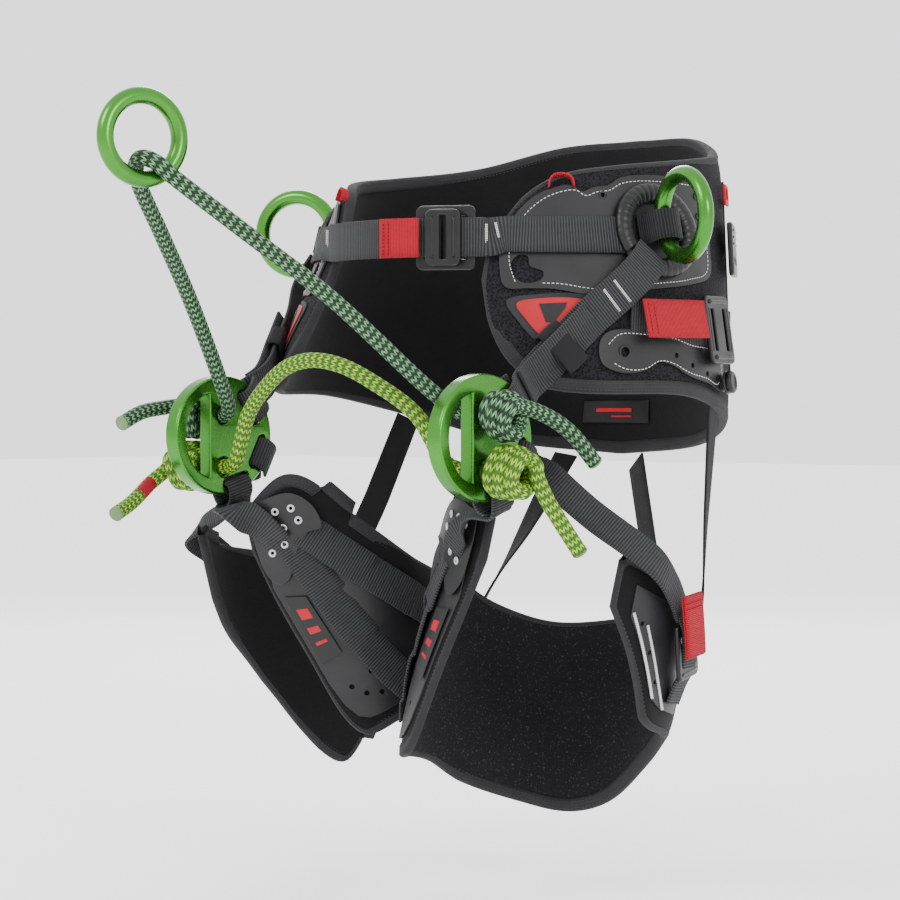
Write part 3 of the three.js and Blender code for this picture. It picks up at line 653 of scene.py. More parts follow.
def pad_face(name, surface, ends, thick, outer_level, face, material, puff):
    """One face of a pad, from its rim over its crown. face is +1 for the outer face and -1 for the inner."""
    columns, rows = PAD_COLUMNS, PAD_ROWS
    middle = outer_level - thick / 2
    verts, faces = [], []
    for i in range(columns + 1):
        station = ease_ends(i / columns, *ends)
        low, high = surface.low(station), surface.high(station)
        end_fade = (1 - abs(2 * i / columns - 1) ** 30) ** 0.5
        for j in range(rows + 1):
            v = (1 - math.cos(math.pi * j / rows)) / 2
            crown = (1 - abs(2 * v - 1) ** 7) ** 0.5 * end_fade
            z = low + v * (high - low)
            level = middle + face * (thick / 2 * (0.28 + 0.72 * crown) + puff(station, z) * crown)
            verts.append(surface.point(station, z, level))
    for i in range(columns):
        for j in range(rows):
            a = i * (rows + 1) + j
            faces.append((a, a + rows + 1, a + rows + 2, a + 1))
    return build(name, verts, faces, None, material)


def rim_path(surface, ends, count, level):
    """The pad's outline as (station, height, inward direction, normal) places, all the way round."""
    places = []
    for edge, order in ((surface.low, range(count)), (surface.high, range(count - 1, -1, -1))):
        for k in order:
            station = ease_ends(k / (count - 1), *ends)
            places.append((station, edge(station)))
    start, tip = surface.high(ends[1]), surface.low(ends[1])
    steps = max(int(abs(start - tip) / 6), 3)
    far = [(ends[1], tip + (start - tip) * k / steps) for k in range(1, steps)]
    near_high, near_low = surface.high(ends[0]), surface.low(ends[0])
    near = [(ends[0], near_high + (near_low - near_high) * k / steps) for k in range(1, steps)]
    places = places[:count] + far + places[count:] + near
    points = [surface.point(s, z, level) for s, z in places]
    normals = [surface.normal(s, z) for s, z in places]
    total = len(points)
    middle = ease_ends(0.5, *ends)
    result = []
    for i in range(total):
        along = (points[(i + 1) % total] - points[i - 1]).normalized()
        inward = along.cross(normals[i]).normalized()
        station, z = places[i]
        half_way = (surface.low(station) + surface.high(station)) / 2
        inner = surface.point(middle + (station - middle) * 0.94, z + 0.12 * (half_way - z), level)
        if (inner - points[i]).dot(inward) < 0:
            inward.negate()
        result.append((points[i], inward, normals[i]))
    return result


def binding(name, rim, wide, thick, material):
    """Tape folded over a pad's rim."""
    section = [(wide, 0.42), (wide * 0.5, 0.5), (0, 0.46), (-0.9, 0.26), (-1.2, 0), (-0.9, -0.26), (0, -0.46),
               (wide * 0.5, -0.5), (wide, -0.42), (wide * 0.6, 0)]
    rings = []
    for p, inward, normal in rim:
        rings.append([p + inward * (a * MM) + normal * (b * thick * MM) for a, b in section])
    rings.append(rings[0])
    travelled = lengths_along([p for p, _, _ in rim + rim[:1]])
    girth = [k * 2.6 for k in range(len(section) + 1)]
    return loft(name, rings, material, lambda i, j: (girth[j], travelled[i]), caps=False)


def stitches(name, lines, material, pitch=3.4, length=2.3, radius=0.38):
    """Rows of small raised stitches. lines is a list of (points, normals)."""
    verts, faces = [], []
    section = [(-1, 0), (-0.6, 0.8), (0.6, 0.8), (1, 0), (0.6, -0.6), (-0.6, -0.6)]
    for points, normals in lines:
        reach = lengths_along(points)
        P, Q = np.array([tuple(p) for p in points]), np.array([tuple(q) for q in normals])
        for k in range(int(reach[-1] / pitch)):
            a, b, normal = (Vector([np.interp(s, reach, table[:, c]) for c in range(3)])
                            for s, table in ((k * pitch, P), (k * pitch + length, P), (k * pitch, Q)))
            normal.normalize()
            along = (b - a).normalized()
            side = along.cross(normal)
            base = len(verts)
            for t, swell, sink in ((0, 0.45, -0.5), (0.22, 1, 0), (0.78, 1, 0), (1, 0.45, -0.5)):
                centre = a.lerp(b, t) + normal * (sink * radius * MM)
                verts += [centre + side * (x * swell * radius * MM) + normal * (y * swell * radius * MM)
                          for x, y in section]
            count = len(section)
            faces += band_faces(4, count, base)
            faces.append(tuple(base + j for j in range(count))[::-1])
            faces.append(tuple(base + 3 * count + j for j in range(count)))
    return build(name, verts, faces, None, material)


def offset_rim(rim, inwards, outwards_mm):
    points = [p + inward * (inwards * MM) + normal * (outwards_mm * MM) for p, inward, normal in rim]
    normals = [normal if outwards_mm > 0 else -normal for _, _, normal in rim]
    return points + points[:1], normals + normals[:1]


def make_pad(prefix, surface, ends, thick, outer_level, body, node, inner_material, outer_material, puff):
    """A pad: inner lining, outer face, folded binding and its two rows of stitches."""
    inner = pad_face(f"{prefix}_lining", surface, ends, thick, outer_level, -1, inner_material,
                     lambda s, z: puff(s, z) * 0.6)
    outer = pad_face(f"{prefix}_outer_face", surface, ends, thick, outer_level, 1, outer_material, puff)
    rim = rim_path(surface, ends, RIM_POINTS, outer_level - thick / 2)
    tape = binding(f"{prefix}_binding", rim, 8.5, thick * 0.74, "binding")
    rows = [offset_rim(rim, 6.2, s * thick * 0.36) for s in (1, -1)]
    rows += [offset_rim(rim, 1.6, s * thick * 0.36) for s in (1, -1)]
    seam = stitches(f"{prefix}_binding_stitches", rows, "thread_dark", 3.0, 2.0, 0.33)
    for piece, nodes in ((inner, ()), (outer, (node,)), (tape, ()), (seam, ())):
        riding(piece, body, "padding", *nodes)


def belt_puff(angle, z):
    """The lumbar foam swells between two long channels."""
    return 0.9 * math.sin(math.radians(angle) * 5) ** 2 * math.exp(-(z / 90) ** 2)


def make_belt_pad():
    make_pad("hip_pad", BELT, (-BELT_TIP, BELT_TIP), PAD, 0, "belt", "hip_pad", "liner", "mesh", belt_puff)


def make_leg_pads():
    for side, name in SIDES:
        make_pad(f"{name}_leg_pad", LEGS[side], LEG_ENDS, LEG_PAD, LEG_PAD, f"{name}_leg_loop",
                 f"{name}_leg_pad", "fleece" if side > 0 else "liner", "liner", lambda turn,
                 z: 0.7 * math.sin(math.radians(turn) * 3) ** 2)


# ---------------------------------------------------------------- ropes and their stopper knots

ROPE = 5.5
BRIDGE = {"x": 125, "y": -182, "z": -142, "thick": 12}
HOLE_Y, DARK_Z, LIME_Z = -183, -127, -165
FACE = BRIDGE["x"] + BRIDGE["thick"] / 2
DARK_HALF = [(0, -380, 43.5), (9, -377, 40.5), (17, -368, 30.5), (38, -326, -2.5), (66, -270, -46.5),
             (98, -205, -108), (108, -189, -122), (118, -183, -127), (FACE, -183, -127)]
LIME_HALF = [(0, -215, -88), (25, -213, -92), (50, -207, -104), (80, -197, -126), (100, -189, -159),
             (110, -184, -164), (118, -183, -165), (FACE, -183, -165)]
KNOT_TURNS, KNOT_PITCH, KNOT_RADIUS = {"dark": 2, "lime": 3}, 10.9, {"dark": 11.4, "lime": 12.2}
KNOTS = {   # first wrap angle in degrees, and the tail's places beyond the knot
    ("dark", 1): (90, -1, [(160, 24, 2), (168, 44, -10), (174, 66, -32)]),
    ("dark", -1): (90, 1, [(160, -24, 5), (160, -44, 2), (158, -66, -6)]),
    ("lime", 1): (0, -1, [(171, 15, -17), (176, 26, -35), (181, 40, -55)]),
    ("lime", -1): (180, 1, [(170, -26, -13), (166, -48, -26), (160, -70, -34)]),
}


def knot_path(colour, side):
    """From the hole out, round the standing part towards the ring's face, across and into the tail."""
    start, way, tail = KNOTS[colour, side]
    hole_z = DARK_Z if colour == "dark" else LIME_Z
    points = [V(FACE, 0, 0), V(FACE + 2.5, 0, 0)]
    turns = KNOT_TURNS[colour]
    count = 12 * turns + 7
    begin = start - way * 360 * turns - way * 210
    for k in range(count + 1):
        t = k / count
        angle = math.radians(begin + way * (360 * turns + 210) * t)
        rise = min(t / 0.16, 1) * (1 - 0.35 * max(t - 0.82, 0) / 0.18)
        swell = 1 + 0.12 * math.sin(math.pi * t)
        radius = KNOT_RADIUS[colour] * rise * swell
        x = FACE + 5.6 + t * KNOT_PITCH * turns * 0.96 + 1.1 * math.sin(3 * angle)
        points.append(V(x, radius * math.cos(angle), radius * math.sin(angle)))
    points += [V(*place) for place in tail]
    return [V(side * p.x, HOLE_Y + p.y, hole_z + p.z) * MM for p in points]


def frayed_end(name, centre, along, material):
    """The cut and heat-sealed end of a rope."""
    side = along.orthogonal().normalized()
    up = along.cross(side)
    rings = []
    for out, radius in ((-0.6, 5.6), (0.4, 5.65), (1.1, 5.1), (1.5, 3.4), (1.6, 0.6)):
        rings.append(round_about(centre + along * (out * MM), side, up, radius * MM, 20))
    return loft(name, rings, material, lambda i, j: (j / 20, i))


def make_bridge(colour, half):
    mirrored = [(-x, y, z) for x, y, z in half[1:]]
    centres = spline([V(*p) * MM for p in half[::-1] + mirrored], 240 if colour == "dark" else 150)
    material = f"{colour}_rope"
    body = f"{colour}_bridge"
    run = riding(tube(f"{body}_run", centres, ROPE * MM, material, 24), body, material, f"{body}_rope")
    pieces = []
    for side, name in SIDES:
        path = spline(knot_path(colour, side), 230)
        knot = tube(f"{name}_{colour}_stopper_knot", path, ROPE * MM, material, 22)
        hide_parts(f"{name}_{colour}_knot")
        end = frayed_end(f"{name}_{colour}_rope_end", path[-1], (path[-1] - path[-3]).normalized(),
                         "rope_end")
        pieces += [knot, end]
        if colour == "lime":
            pieces.append(rope_mark(f"{name}_rope_mark", path))
    for piece in pieces:
        riding(piece, body, material)


def rope_mark(name, path):
    """A short red woven mark in the rope's tail."""
    part = path[-34:-22]
    rings = []
    for centre, along in zip(part, tangents(part)):
        side = (UP - along * along.z).normalized().cross(along)
        up = along.cross(side)
        rings.append([centre + (side * math.cos(a) + up * math.sin(a)) * (r * MM) for a, r in
                      [(math.radians(d), 5.72) for d in range(-30, 91, 12)]
                      + [(math.radians(d), 5.2) for d in range(90, -31, -12)]])
    return loft(name, rings, "web_red", lambda i, j: (j * 1.2, i * 1.4))


# ---------------------------------------------------------------- rings

RING_SECTION = 5.75
RING_RADII = {"left_hip_ring": 29.25, "right_hip_ring": 29.25, "centre_ring": 27.5}


def ring_at(name, centre, axis, radius, node):
    """A forged ring round an axis."""
    rings = torus_rings(centre, axis.normalized(), radius, RING_SECTION, RING_SECTION, 96, 32)
    piece = loft(name, rings, "green", lambda i, j: (i / 96, j / 32), caps=False)
    return riding(piece, node, "green_aluminium", node)


def node_frame(node):
    """A CAD node's middle and the direction in which it is thinnest, in the row frame."""
    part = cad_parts[node]
    P = np.array([tuple(part.matrix_world @ v.co) for v in part.data.vertices])
    middle = (P.max(0) + P.min(0)) / 2
    centred = P - P.mean(0)
    _, _, directions = np.linalg.svd(centred, full_matrices=False)
    return Vector(middle), Vector(directions[2])


def make_rings():
    pieces = {}
    for node, radius in RING_RADII.items():
        centre, axis = node_frame(node)
        pieces[node] = ring_at(f"{node}_forged", centre, axis, radius, node)
    return pieces


def outline_mesh(name, outer, holes, half_thick, bevel, material, edge_material=None, grid=0):
    """A plate in its own XY plane, in mm, from outlines, with rounded edges. grid cuts it for bending."""
    curve = bpy.data.curves.new(name, "CURVE")
    curve.dimensions, curve.fill_mode = "2D", "BOTH"
    curve.extrude, curve.bevel_depth, curve.bevel_resolution = half_thick - bevel, bevel, 2
    curve.offset = -bevel
    for outline in [outer] + list(holes):
        line = curve.splines.new("POLY")
        line.points.add(len(outline) - 1)
        for point, (x, y) in zip(line.points, outline):
            point.co = (x, y, 0, 1)
        line.use_cyclic_u = True
    holder = bpy.data.objects.new(name + "_outline", curve)
    bpy.context.scene.collection.objects.link(holder)
    mesh = bpy.data.meshes.new_from_object(holder.evaluated_get(bpy.context.evaluated_depsgraph_get()))
    bpy.data.objects.remove(holder)
    bm = bmesh.new()
    bm.from_mesh(mesh)
    bmesh.ops.remove_doubles(bm, verts=bm.verts, dist=0.002)
    if grid:
        for axis in (0, 1):
            values = [v.co[axis] for v in bm.verts]
            at = math.ceil(min(values) / grid) * grid
            while at < max(values):
                co, no = [0, 0, 0], [0, 0, 0]
                co[axis], no[axis] = at, 1
                bmesh.ops.bisect_plane(bm, geom=bm.verts[:] + bm.edges[:] + bm.faces[:], plane_co=co,
                                       plane_no=no)
                at += grid
    bmesh.ops.recalc_face_normals(bm, faces=bm.faces)
    uv = bm.loops.layers.uv.new("UVMap")
    for face in bm.faces:
        face.smooth = True
        face.material_index = 1 if edge_material and abs(face.normal.z) < 0.75 else 0
        for loop in face.loops:
            loop[uv].uv = (loop.vert.co.x, loop.vert.co.y)
    bm.to_mesh(mesh)
    bm.free()
    mesh.materials.clear()
    mesh.materials.append(MATERIALS[material])
    if edge_material:
        mesh.materials.append(MATERIALS[edge_material])
    piece = bpy.data.objects.new(name, mesh)
    bpy.context.scene.collection.objects.link(piece)
    sharp = piece.modifiers.new("even_shading", "WEIGHTED_NORMAL")
    sharp.keep_sharp = False
    return piece


def ellipse_arc(x, y, wide, high, first, last, steps):
    turns = [math.radians(first + (last - first) * k / steps) for k in range(steps + 1)]
    return [(x + wide * math.cos(a), y + high * math.sin(a)) for a in turns]


def arc(x, y, radius, first, last, steps=10):
    return ellipse_arc(x, y, radius, radius, first, last, steps)


def circle(x, y, radius, steps=20):
    return arc(x, y, radius, 0, 360 - 360 / steps, steps - 1)


def rounded_box(x, y, wide, high, radius, steps=5):
    right, left = x + wide / 2 - radius, x - wide / 2 + radius
    top, low = y + high / 2 - radius, y - high / 2 + radius
    return (arc(right, low, radius, -90, 0, steps) + arc(right, top, radius, 0, 90, steps)
            + arc(left, top, radius, 90, 180, steps) + arc(left, low, radius, 180, 270, steps))


def slot_outline(x, y, angle, length, radius):
    c, s = math.cos(math.radians(angle)), math.sin(math.radians(angle))
    half = length / 2 - radius
    return (arc(x + c * half, y + s * half, radius, angle - 90, angle + 90)
            + arc(x - c * half, y - s * half, radius, angle + 90, angle + 270))


def place_mesh(piece, spot):
    """Moves every point of a plate by spot(x, y, z), which takes mm and gives metres."""
    for vertex in piece.data.vertices:
        vertex.co = spot(*vertex.co)
    outwards(piece)


def make_bridge_rings():
    for side, name in SIDES:
        outer = ellipse_arc(0, 0, 50, 44, 0, 356, 89)
        window = ellipse_arc(13, 0, 26, 30, -86, 86, 30)
        holes = [window, circle(1, 15, 6.6, 28), circle(1, -23, 6.6, 28), slot_outline(-25, 20, 51, 30, 3.2),
                 slot_outline(-35, -12, -60, 26, 3.2), slot_outline(-12, -33, -15, 26, 3.2)]
        ring = outline_mesh(f"{name}_bridge_ring_forged", outer, holes, 6, 1.9, "green")
        middle = V(side * BRIDGE["x"], BRIDGE["y"], BRIDGE["z"])
        place_mesh(ring, lambda u, v, w, middle=middle: (middle + V(w, -u, v)) * MM)
        riding(ring, "belt", "green_aluminium", f"{name}_bridge_ring")


# ---------------------------------------------------------------- webbing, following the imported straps

def belt_at(side, angle, z, off):
    return BELT.point(side * angle, z, off)


def blend_between(value, low, high):
    return min(max((value - low) / (high - low), 0), 1)


FRONT_Y, FRONT_RISE, BUCKLE_X, WEB, WEB_THICK = -143, 0.0046, 50, 28, 2.2


def front_point(x, off=0.0):
    slope = 2 * FRONT_RISE * x
    return (V(x, FRONT_Y + FRONT_RISE * x * x, 0) + V(slope, -1, 0).normalized() * off) * MM


def waist_path(side):
    """From under the ring housing along the belt, then bowed forward to the buckle."""
    path = [belt_at(side, angle, 2, 4.8) for angle in (114, 120, 130, 140, 148)]
    last, end = path[-1].x / MM, BUCKLE_X + side * 2
    return path + [front_point(last + (end - last) * i / 5) for i in range(1, 6)]


def make_waist_straps():
    for side, name in SIDES:
        path = waist_path(side)
        lean = (BELT.point(side * 132, 3) - BELT.point(side * 132, 1)).normalized()
        curve = spline(path, 100)

        def wide(t, curve=curve, lean=lean):
            return UP.lerp(lean, blend_between(abs(curve[round(t * 99)].x) * 1000, 70, 85))

        riding(strap(f"{name}_waist_webbing", path, wide, WEB * MM, WEB_THICK * MM, "web_grey"), "belt",
               "grey_webbing", f"{name}_waist_strap")


SIDE_PLACES = [(109, -11, 15.6), (111.5, -21, 15.6), (116.5, -37, 13.2), (123.5, -58, 5.8), (130, -80, 4.8),
               (136, -101, 6.5)]
ADJUSTER_PLACES = [(112, -60), (104, -61), (94, -62), (84, -63), (74, -64), (66, -64)]


def make_side_straps():
    for side, name in SIDES:
        path = [belt_at(side, *place) for place in SIDE_PLACES]
        slot_y, slot_z = BRIDGE["y"] + 25, BRIDGE["z"] + 20
        outer, inner = FACE + 2.2, BRIDGE["x"] - BRIDGE["thick"] / 2 - 2.2

        def at(x, back):
            return V(side * x, slot_y + 0.78 * back, slot_z + 0.63 * back) * MM

        path += [at(outer - 4, 20), at(outer, 12), at(outer, 2), at(BRIDGE["x"] + 3, -0.5),
                 at(BRIDGE["x"] - 3, -0.5), at(inner, 2), at(inner, 12), at(BRIDGE["x"] - 3, 21)]
        curve = spline(path, 160)
        runs = tangents(curve)
        base = BELT.normal(side * 122, -80)

        def wide(t, curve=curve, runs=runs, base=base):
            k = round(t * 159)
            mix = blend_between(curve[k].z * 1000, -112, -92)
            lying = runs[k].cross(base)
            across = V(0, -0.63, 0.78)
            if lying.dot(across) < 0:
                lying.negate()
            return across.lerp(lying.normalized(), mix)

        run = strap(f"{name}_side_webbing", path, wide, WEB * MM, WEB_THICK * MM, "web_grey")
        riding(run, "belt", "grey_webbing", f"{name}_side_strap")
        doubled = [belt_at(side, a, z, off + 2.5) for a, z, off in SIDE_PLACES[3:]] + [at(outer - 1.5, 22)]
        fold = strap(f"{name}_side_webbing_fold", doubled, lambda t: V(0, -0.70, 0.71), WEB * MM,
                     WEB_THICK * MM, "web_grey")
        riding(fold, "belt", "grey_webbing")
        path = [belt_at(side, *place, 3.6) for place in ADJUSTER_PLACES]
        run = strap(f"{name}_side_adjuster_webbing", path, lambda t: UP, WEB * MM, WEB_THICK * MM, "web_grey")
        riding(run, "belt", "grey_webbing", f"{name}_side_adjuster_strap")


def hairpin(side, forward, high, angle):
    away = V(0, math.sin(math.radians(-angle)), -math.cos(math.radians(angle)))
    outer, inner = FACE + 2.2, BRIDGE["x"] - BRIDGE["thick"] / 2 - 2.2

    def at(x, back):
        place = V(0, BRIDGE["y"] - forward, BRIDGE["z"] + high) + away * back
        return V(side * x, place.y, place.z) * MM

    return [at(BRIDGE["x"] - 3, 19), at(inner, 11), at(inner, 2), at(BRIDGE["x"] - 3, -0.4),
            at(BRIDGE["x"] + 3, -0.4), at(outer, 2), at(outer, 11), at(outer - 4, 19)]


LEG_OFF = LEG_PAD + 0.35 + 1.8 + 0.35


def make_leg_straps():
    for side, name in SIDES:
        leg = LEGS[side]
        path = [leg.point(155, -222, LEG_OFF + 4), leg.point(160, -209, LEG_OFF + 8),
                leg.point(170, -196, LEG_OFF + 15)]
        path += hairpin(side, -12, -33, -15)[::-1]
        curve = spline(path, 120)

        def wide(t, curve=curve, side=side):
            mix = blend_between(-curve[round(t * 119)].z * 1000, 190, 210)
            return V(0, -0.97, -0.26).lerp(V(side * 0.95, -0.3, 0), mix)

        front = strap(f"{name}_front_leg_webbing", path, wide, 24 * MM, WEB_THICK * MM, "web_grey")
        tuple(path[6])
        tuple(path[0])
        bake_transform(front)
        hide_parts(f"{name}_front_leg_strap")

        path = hairpin(side, -35, -12, -60)
        path += [V(side * 150, -134, -172) * MM, V(side * 174, -118, -196) * MM,
                 leg.point(-108, -229, LEG_OFF + 8),
                 leg.point(-96, -246, LEG_OFF + 7), leg.point(-86, -263, LEG_OFF + 6)]
        curve = spline(path, 120)

        def wide_outer(t, curve=curve, side=side):
            mix = blend_between(-curve[round(t * 119)].z * 1000, 165, 210)
            return V(0, 0.5, 0.87).lerp(V(side * -0.2, 0.6, 0.78), mix)

        outer = strap(f"{name}_outer_leg_webbing", path, wide_outer, 24 * MM, WEB_THICK * MM, "web_grey")
        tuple(path[7])
        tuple(path[-2])
        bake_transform(outer)
        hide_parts(f"{name}_outer_leg_strap")


RISERS = {
    1: [("inner_riser", (5, -165), (-9, -294)), ("outer_riser", (74, -123), (-48, -286))],
    -1: [("inner_riser", (16, -160), (48, -322)), ("outer_riser", (61, -130.5), (-34, -286))],
}


def make_risers():
    for side, name in SIDES:
        leg = LEGS[side]
        for riser, (angle, z), (turn, leg_z) in RISERS[side]:
            top = belt_at(side, angle, z, -PAD / 2)
            low = leg.point(turn, leg_z + 10, LEG_PAD + 5.5)
            path = [top, top.lerp(low, 0.5), low, leg.point(turn, leg_z - 14, LEG_PAD + 1.8)]
            curve = tangents(spline(path, 60))
            first, second = BELT.normal(side * angle, z), leg.normal(turn, leg_z)

            def wide(t, curve=curve, first=first, second=second):
                return curve[round(t * 59)].cross(first.lerp(second, t))

            band = strap(f"{name}_{riser}_elastic", path, wide, 20 * MM, 1.6 * MM, "elastic")
            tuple(path[0])
            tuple(path[2])
            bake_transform(band)
            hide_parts(f"{name}_{riser}")


# ---------------------------------------------------------------- laminate panels on the belt and legs

BENDING_GRID = 4.5


def wrapped(name, surface, outer, holes, level, thick, material, slot_name, *nodes):
    """A thin plate bent onto a surface. Its outlines are in (station times per_degree, height) mm."""
    edge = "laminate_edge" if material == "laminate" else None
    piece = outline_mesh(name, outer, holes, thick / 2, min(0.35, thick / 3), material, edge, BENDING_GRID)
    place_mesh(piece, lambda x, y, z: surface.point(x / surface.per_degree, y, level + thick / 2 + z))
    return riding(piece, surface.body, slot_name, *nodes)


def flat(surface, places, side=1):
    """Unrolls (station, height) places into mm, mirrored for the right side."""
    return [(side * station * surface.per_degree, z) for station, z in places]


def punched(surface, places, radius, side=1, steps=12):
    return [circle(x, z, radius, steps) for x, z in flat(surface, places, side)]


def smooth_outline(points, per_span=6):
    """A closed smooth outline through a few corners."""
    closed = points + points[:3]
    result = []
    for i in range(len(points)):
        a, b, c, d = (np.array(closed[(i + k) % len(points)], float) for k in range(4))
        for t in np.linspace(0, 1, per_span, endpoint=False):
            p = 0.5 * (2 * b + (c - a) * t + (2 * a - 5 * b + 4 * c - d) * t * t
                       + (3 * b - a - 3 * c + d) * t ** 3)
            result.append((float(p[0]), float(p[1])))
    return result


def make_eyelets(name, surface, places, level, radius, material, side=1):
    """Pressed rings round punched holes."""
    verts, faces = [], []
    for station, z in places:
        centre, normal = surface.point(side * station, z, level), surface.normal(side * station, z)
        rings = torus_rings(centre, normal, radius, 0.9, 0.8, 24, 10)
        faces += band_faces(len(rings), len(rings[0]), len(verts))
        verts += [p for ring in rings for p in ring]
    return riding(build(name, verts, faces, None, material), surface.body, "laminate")


def surface_line(surface, places, level, steps=60, sign=1):
    """Points and normals along a curve on a surface, for a row of stitches."""
    P = spline([V(s * surface.per_degree, z, 0) * MM for s, z in places], steps)
    spots = [(p.x * 1000 / surface.per_degree, p.y * 1000) for p in P]
    points = [surface.point(sign * s, z, level) for s, z in spots]
    return points, [surface.normal(sign * s, z) for s, z in spots]


WING_OUTLINE = [(145.5, -36), (148, -20), (148.5, -2), (146, 17), (141, 31), (135, 37.5), (131.5, 38),
                (128.5, 33.5),
                (125, 37), (121, 38.5), (117.5, 44), (112, 46.5), (104, 47), (92, 46), (83, 44), (80, 30),
                (80, 0), (80, -24), (90, -32), (106, -37), (117, -42), (125, -41), (133, -37.5), (139, -37)]
LOWER_OUTLINE = [(120, -75), (117, -66.5), (109, -66), (98, -69), (90, -75), (80, -77.5), (73, -80),
                 (72, -100),
                 (75, -109), (82, -104), (91, -99), (98, -91), (103, -89), (108, -96), (114, -96.5),
                 (119, -90)]
CRESCENT = [(143.5, -13), (145, -19), (143.5, -29), (140.5, -33), (137, -31), (136.5, -25), (140, -21),
            (141, -14)]


WING_EYES = [(122.5, 31), (113, 33), (88, 33), (87, 18)]
LOWER_EYE = [(113, -82)]
LOWER_HOLES = [(96.5, -84), (90, -91), (83, -97), (77, -100)]
BADGE = [(143, -46.5), (135, -42.5), (127, -42.5), (124, -45.5), (123.5, -51), (128, -69), (131, -75),
         (134.5, -74), (139.5, -61)]
BADGE_WEDGE = [(136.5, -48), (129.5, -47), (129.8, -51), (132.2, -61), (134.2, -61)]


def shrunk(places, middle, share_a, share_z):
    """Places drawn in towards their middle, along the belt and up it."""
    return [(middle[0] + share_a * (a - middle[0]), middle[1] + share_z * (z - middle[1])) for a, z in places]


def make_belt_panels():
    for side, name in SIDES:
        wing = smooth_outline(flat(BELT, WING_OUTLINE, side))
        crescent = smooth_outline(flat(BELT, CRESCENT, side))
        holes = punched(BELT, WING_EYES, 1.8, side) + [crescent]
        wrapped(f"{name}_wing_laminate", BELT, wing, holes, 0.35, 1.8, "laminate", "laminate",
                f"{name}_wing_plate")
        lower = smooth_outline(flat(BELT, LOWER_OUTLINE, side))
        holes = punched(BELT, LOWER_EYE, 3.6, side, 14) + punched(BELT, LOWER_HOLES, 1.9, side, 14)
        wrapped(f"{name}_lower_laminate", BELT, lower, holes, 0.35, 1.6, "laminate", "laminate")
        make_eyelets(f"{name}_wing_eyelets", BELT, WING_EYES, 2.3, 2.2, "plastic", side)
        make_eyelets(f"{name}_lower_eyelet", BELT, LOWER_EYE, 2.1, 4.2, "satin_plastic", side)
        rows = [surface_line(BELT, shrunk(WING_OUTLINE, (113, 1), 0.93, 0.9), 2.3, 160, side),
                surface_line(BELT, shrunk(LOWER_OUTLINE, (96, -84), 0.9, 0.82), 2.1, 120, side)]
        seam = stitches(f"{name}_laminate_stitches", rows, "thread_light", 3.2, 2.1, 0.3)
        riding(seam, "belt", "laminate")
        make_badge(side, name)


def make_badge(side, name):
    """A soft rubber badge with a plain wedge, set in the pad."""
    layers = (("rim", 1.15, 0.3, 1.3, "web_dark"), ("face", 0.9, 1.7, 1.0, "badge"))
    for part, share, level, thick, material in layers:
        outline = smooth_outline(flat(BELT, shrunk(BADGE, (132.5, -55), share, share), side), 8)
        wrapped(f"{name}_badge_{part}", BELT, outline, [], level, thick, material, "red_webbing")
    wedge = flat(BELT, BADGE_WEDGE, side)
    wrapped(f"{name}_badge_wedge", BELT, wedge, [], 2.7, 0.6, "satin_plastic", "laminate")


PLATE_TOP = [(62, -316), (85, -300), (105, -284), (125, -256), (140, -222), (150, -200), (163, -196)]


PLATE_HOLES = ((138, 34), (132, 30), (125, 26), (118, 24), (110, 22), (128, 44), (120, 40), (112, 38))
HORN = [(166, -200), (158, -190), (146, -186), (138, -196), (136, -212), (143, -216), (149, -230),
        (154, -248), (160, -252), (165, -238)]
HORN_EYES = [(160, -204), (154, -199), (147, -197), (159, -216), (152, -211), (145, -206), (159, -229),
             (153, -223)]
SIDE_PLATE_HOLES = (-106, -98, -90)
LEG_LABEL = [(159, -262), (149, -262), (139, -305), (149, -313)]
LEG_LABEL_BARS = ((0.12, 0.22), (0.30, 0.36), (0.44, 0.47))
LEG_BANDS = (("front_band", [(152, -212), (143, -246), (132, -284), (120, -318), (108, -343)], 4.0),
             ("rear_band", [(144, -212), (128, -236), (108, -264), (90, -286), (72, -304)], 2.9))
PIPING = [(-112, -262), (-104, -284), (-96, -306), (-90, -322)]


def leg_band(leg, first, last, low, high, count):
    """An outline between two height functions."""
    stations = [first + (last - first) * k / count for k in range(count + 1)]
    return flat(leg, [(t, low(t)) for t in stations] + [(t, high(t)) for t in reversed(stations)])


def make_leg_panels():
    for side, name in SIDES:
        leg = LEGS[side]
        plate = leg_band(leg, 62, 163, lambda t: leg.low(t) + 12, lambda t: smooth_value(PLATE_TOP, t), 20)
        holes = punched(leg, [(t, leg.low(t) + rise) for t, rise in PLATE_HOLES], 1.9)
        wrapped(f"{name}_leg_laminate", leg, plate, holes, LEG_PAD + 0.35, 1.6, "laminate", "laminate",
                f"{name}_leg_plate")
        horn = smooth_outline(flat(leg, HORN))
        wrapped(f"{name}_leg_horn", leg, horn, punched(leg, HORN_EYES, 1.7), LEG_PAD + 4.4, 1.5, "laminate",
                "laminate")
        make_eyelets(f"{name}_horn_eyelets", leg, HORN_EYES, LEG_PAD + 6.1, 2.1, "reflective")
        plate = leg_band(leg, -113, -66, lambda t: leg.low(t) + 13, lambda t: leg.high(t) - 11, 14)
        holes = punched(leg, [(t, leg.low(t) + 24) for t in SIDE_PLATE_HOLES], 1.6)
        wrapped(f"{name}_side_laminate", leg, plate, holes, LEG_PAD + 0.35, 1.6, "laminate", "laminate",
                f"{name}_leg_side_plate")
        make_leg_webbing(name, leg)


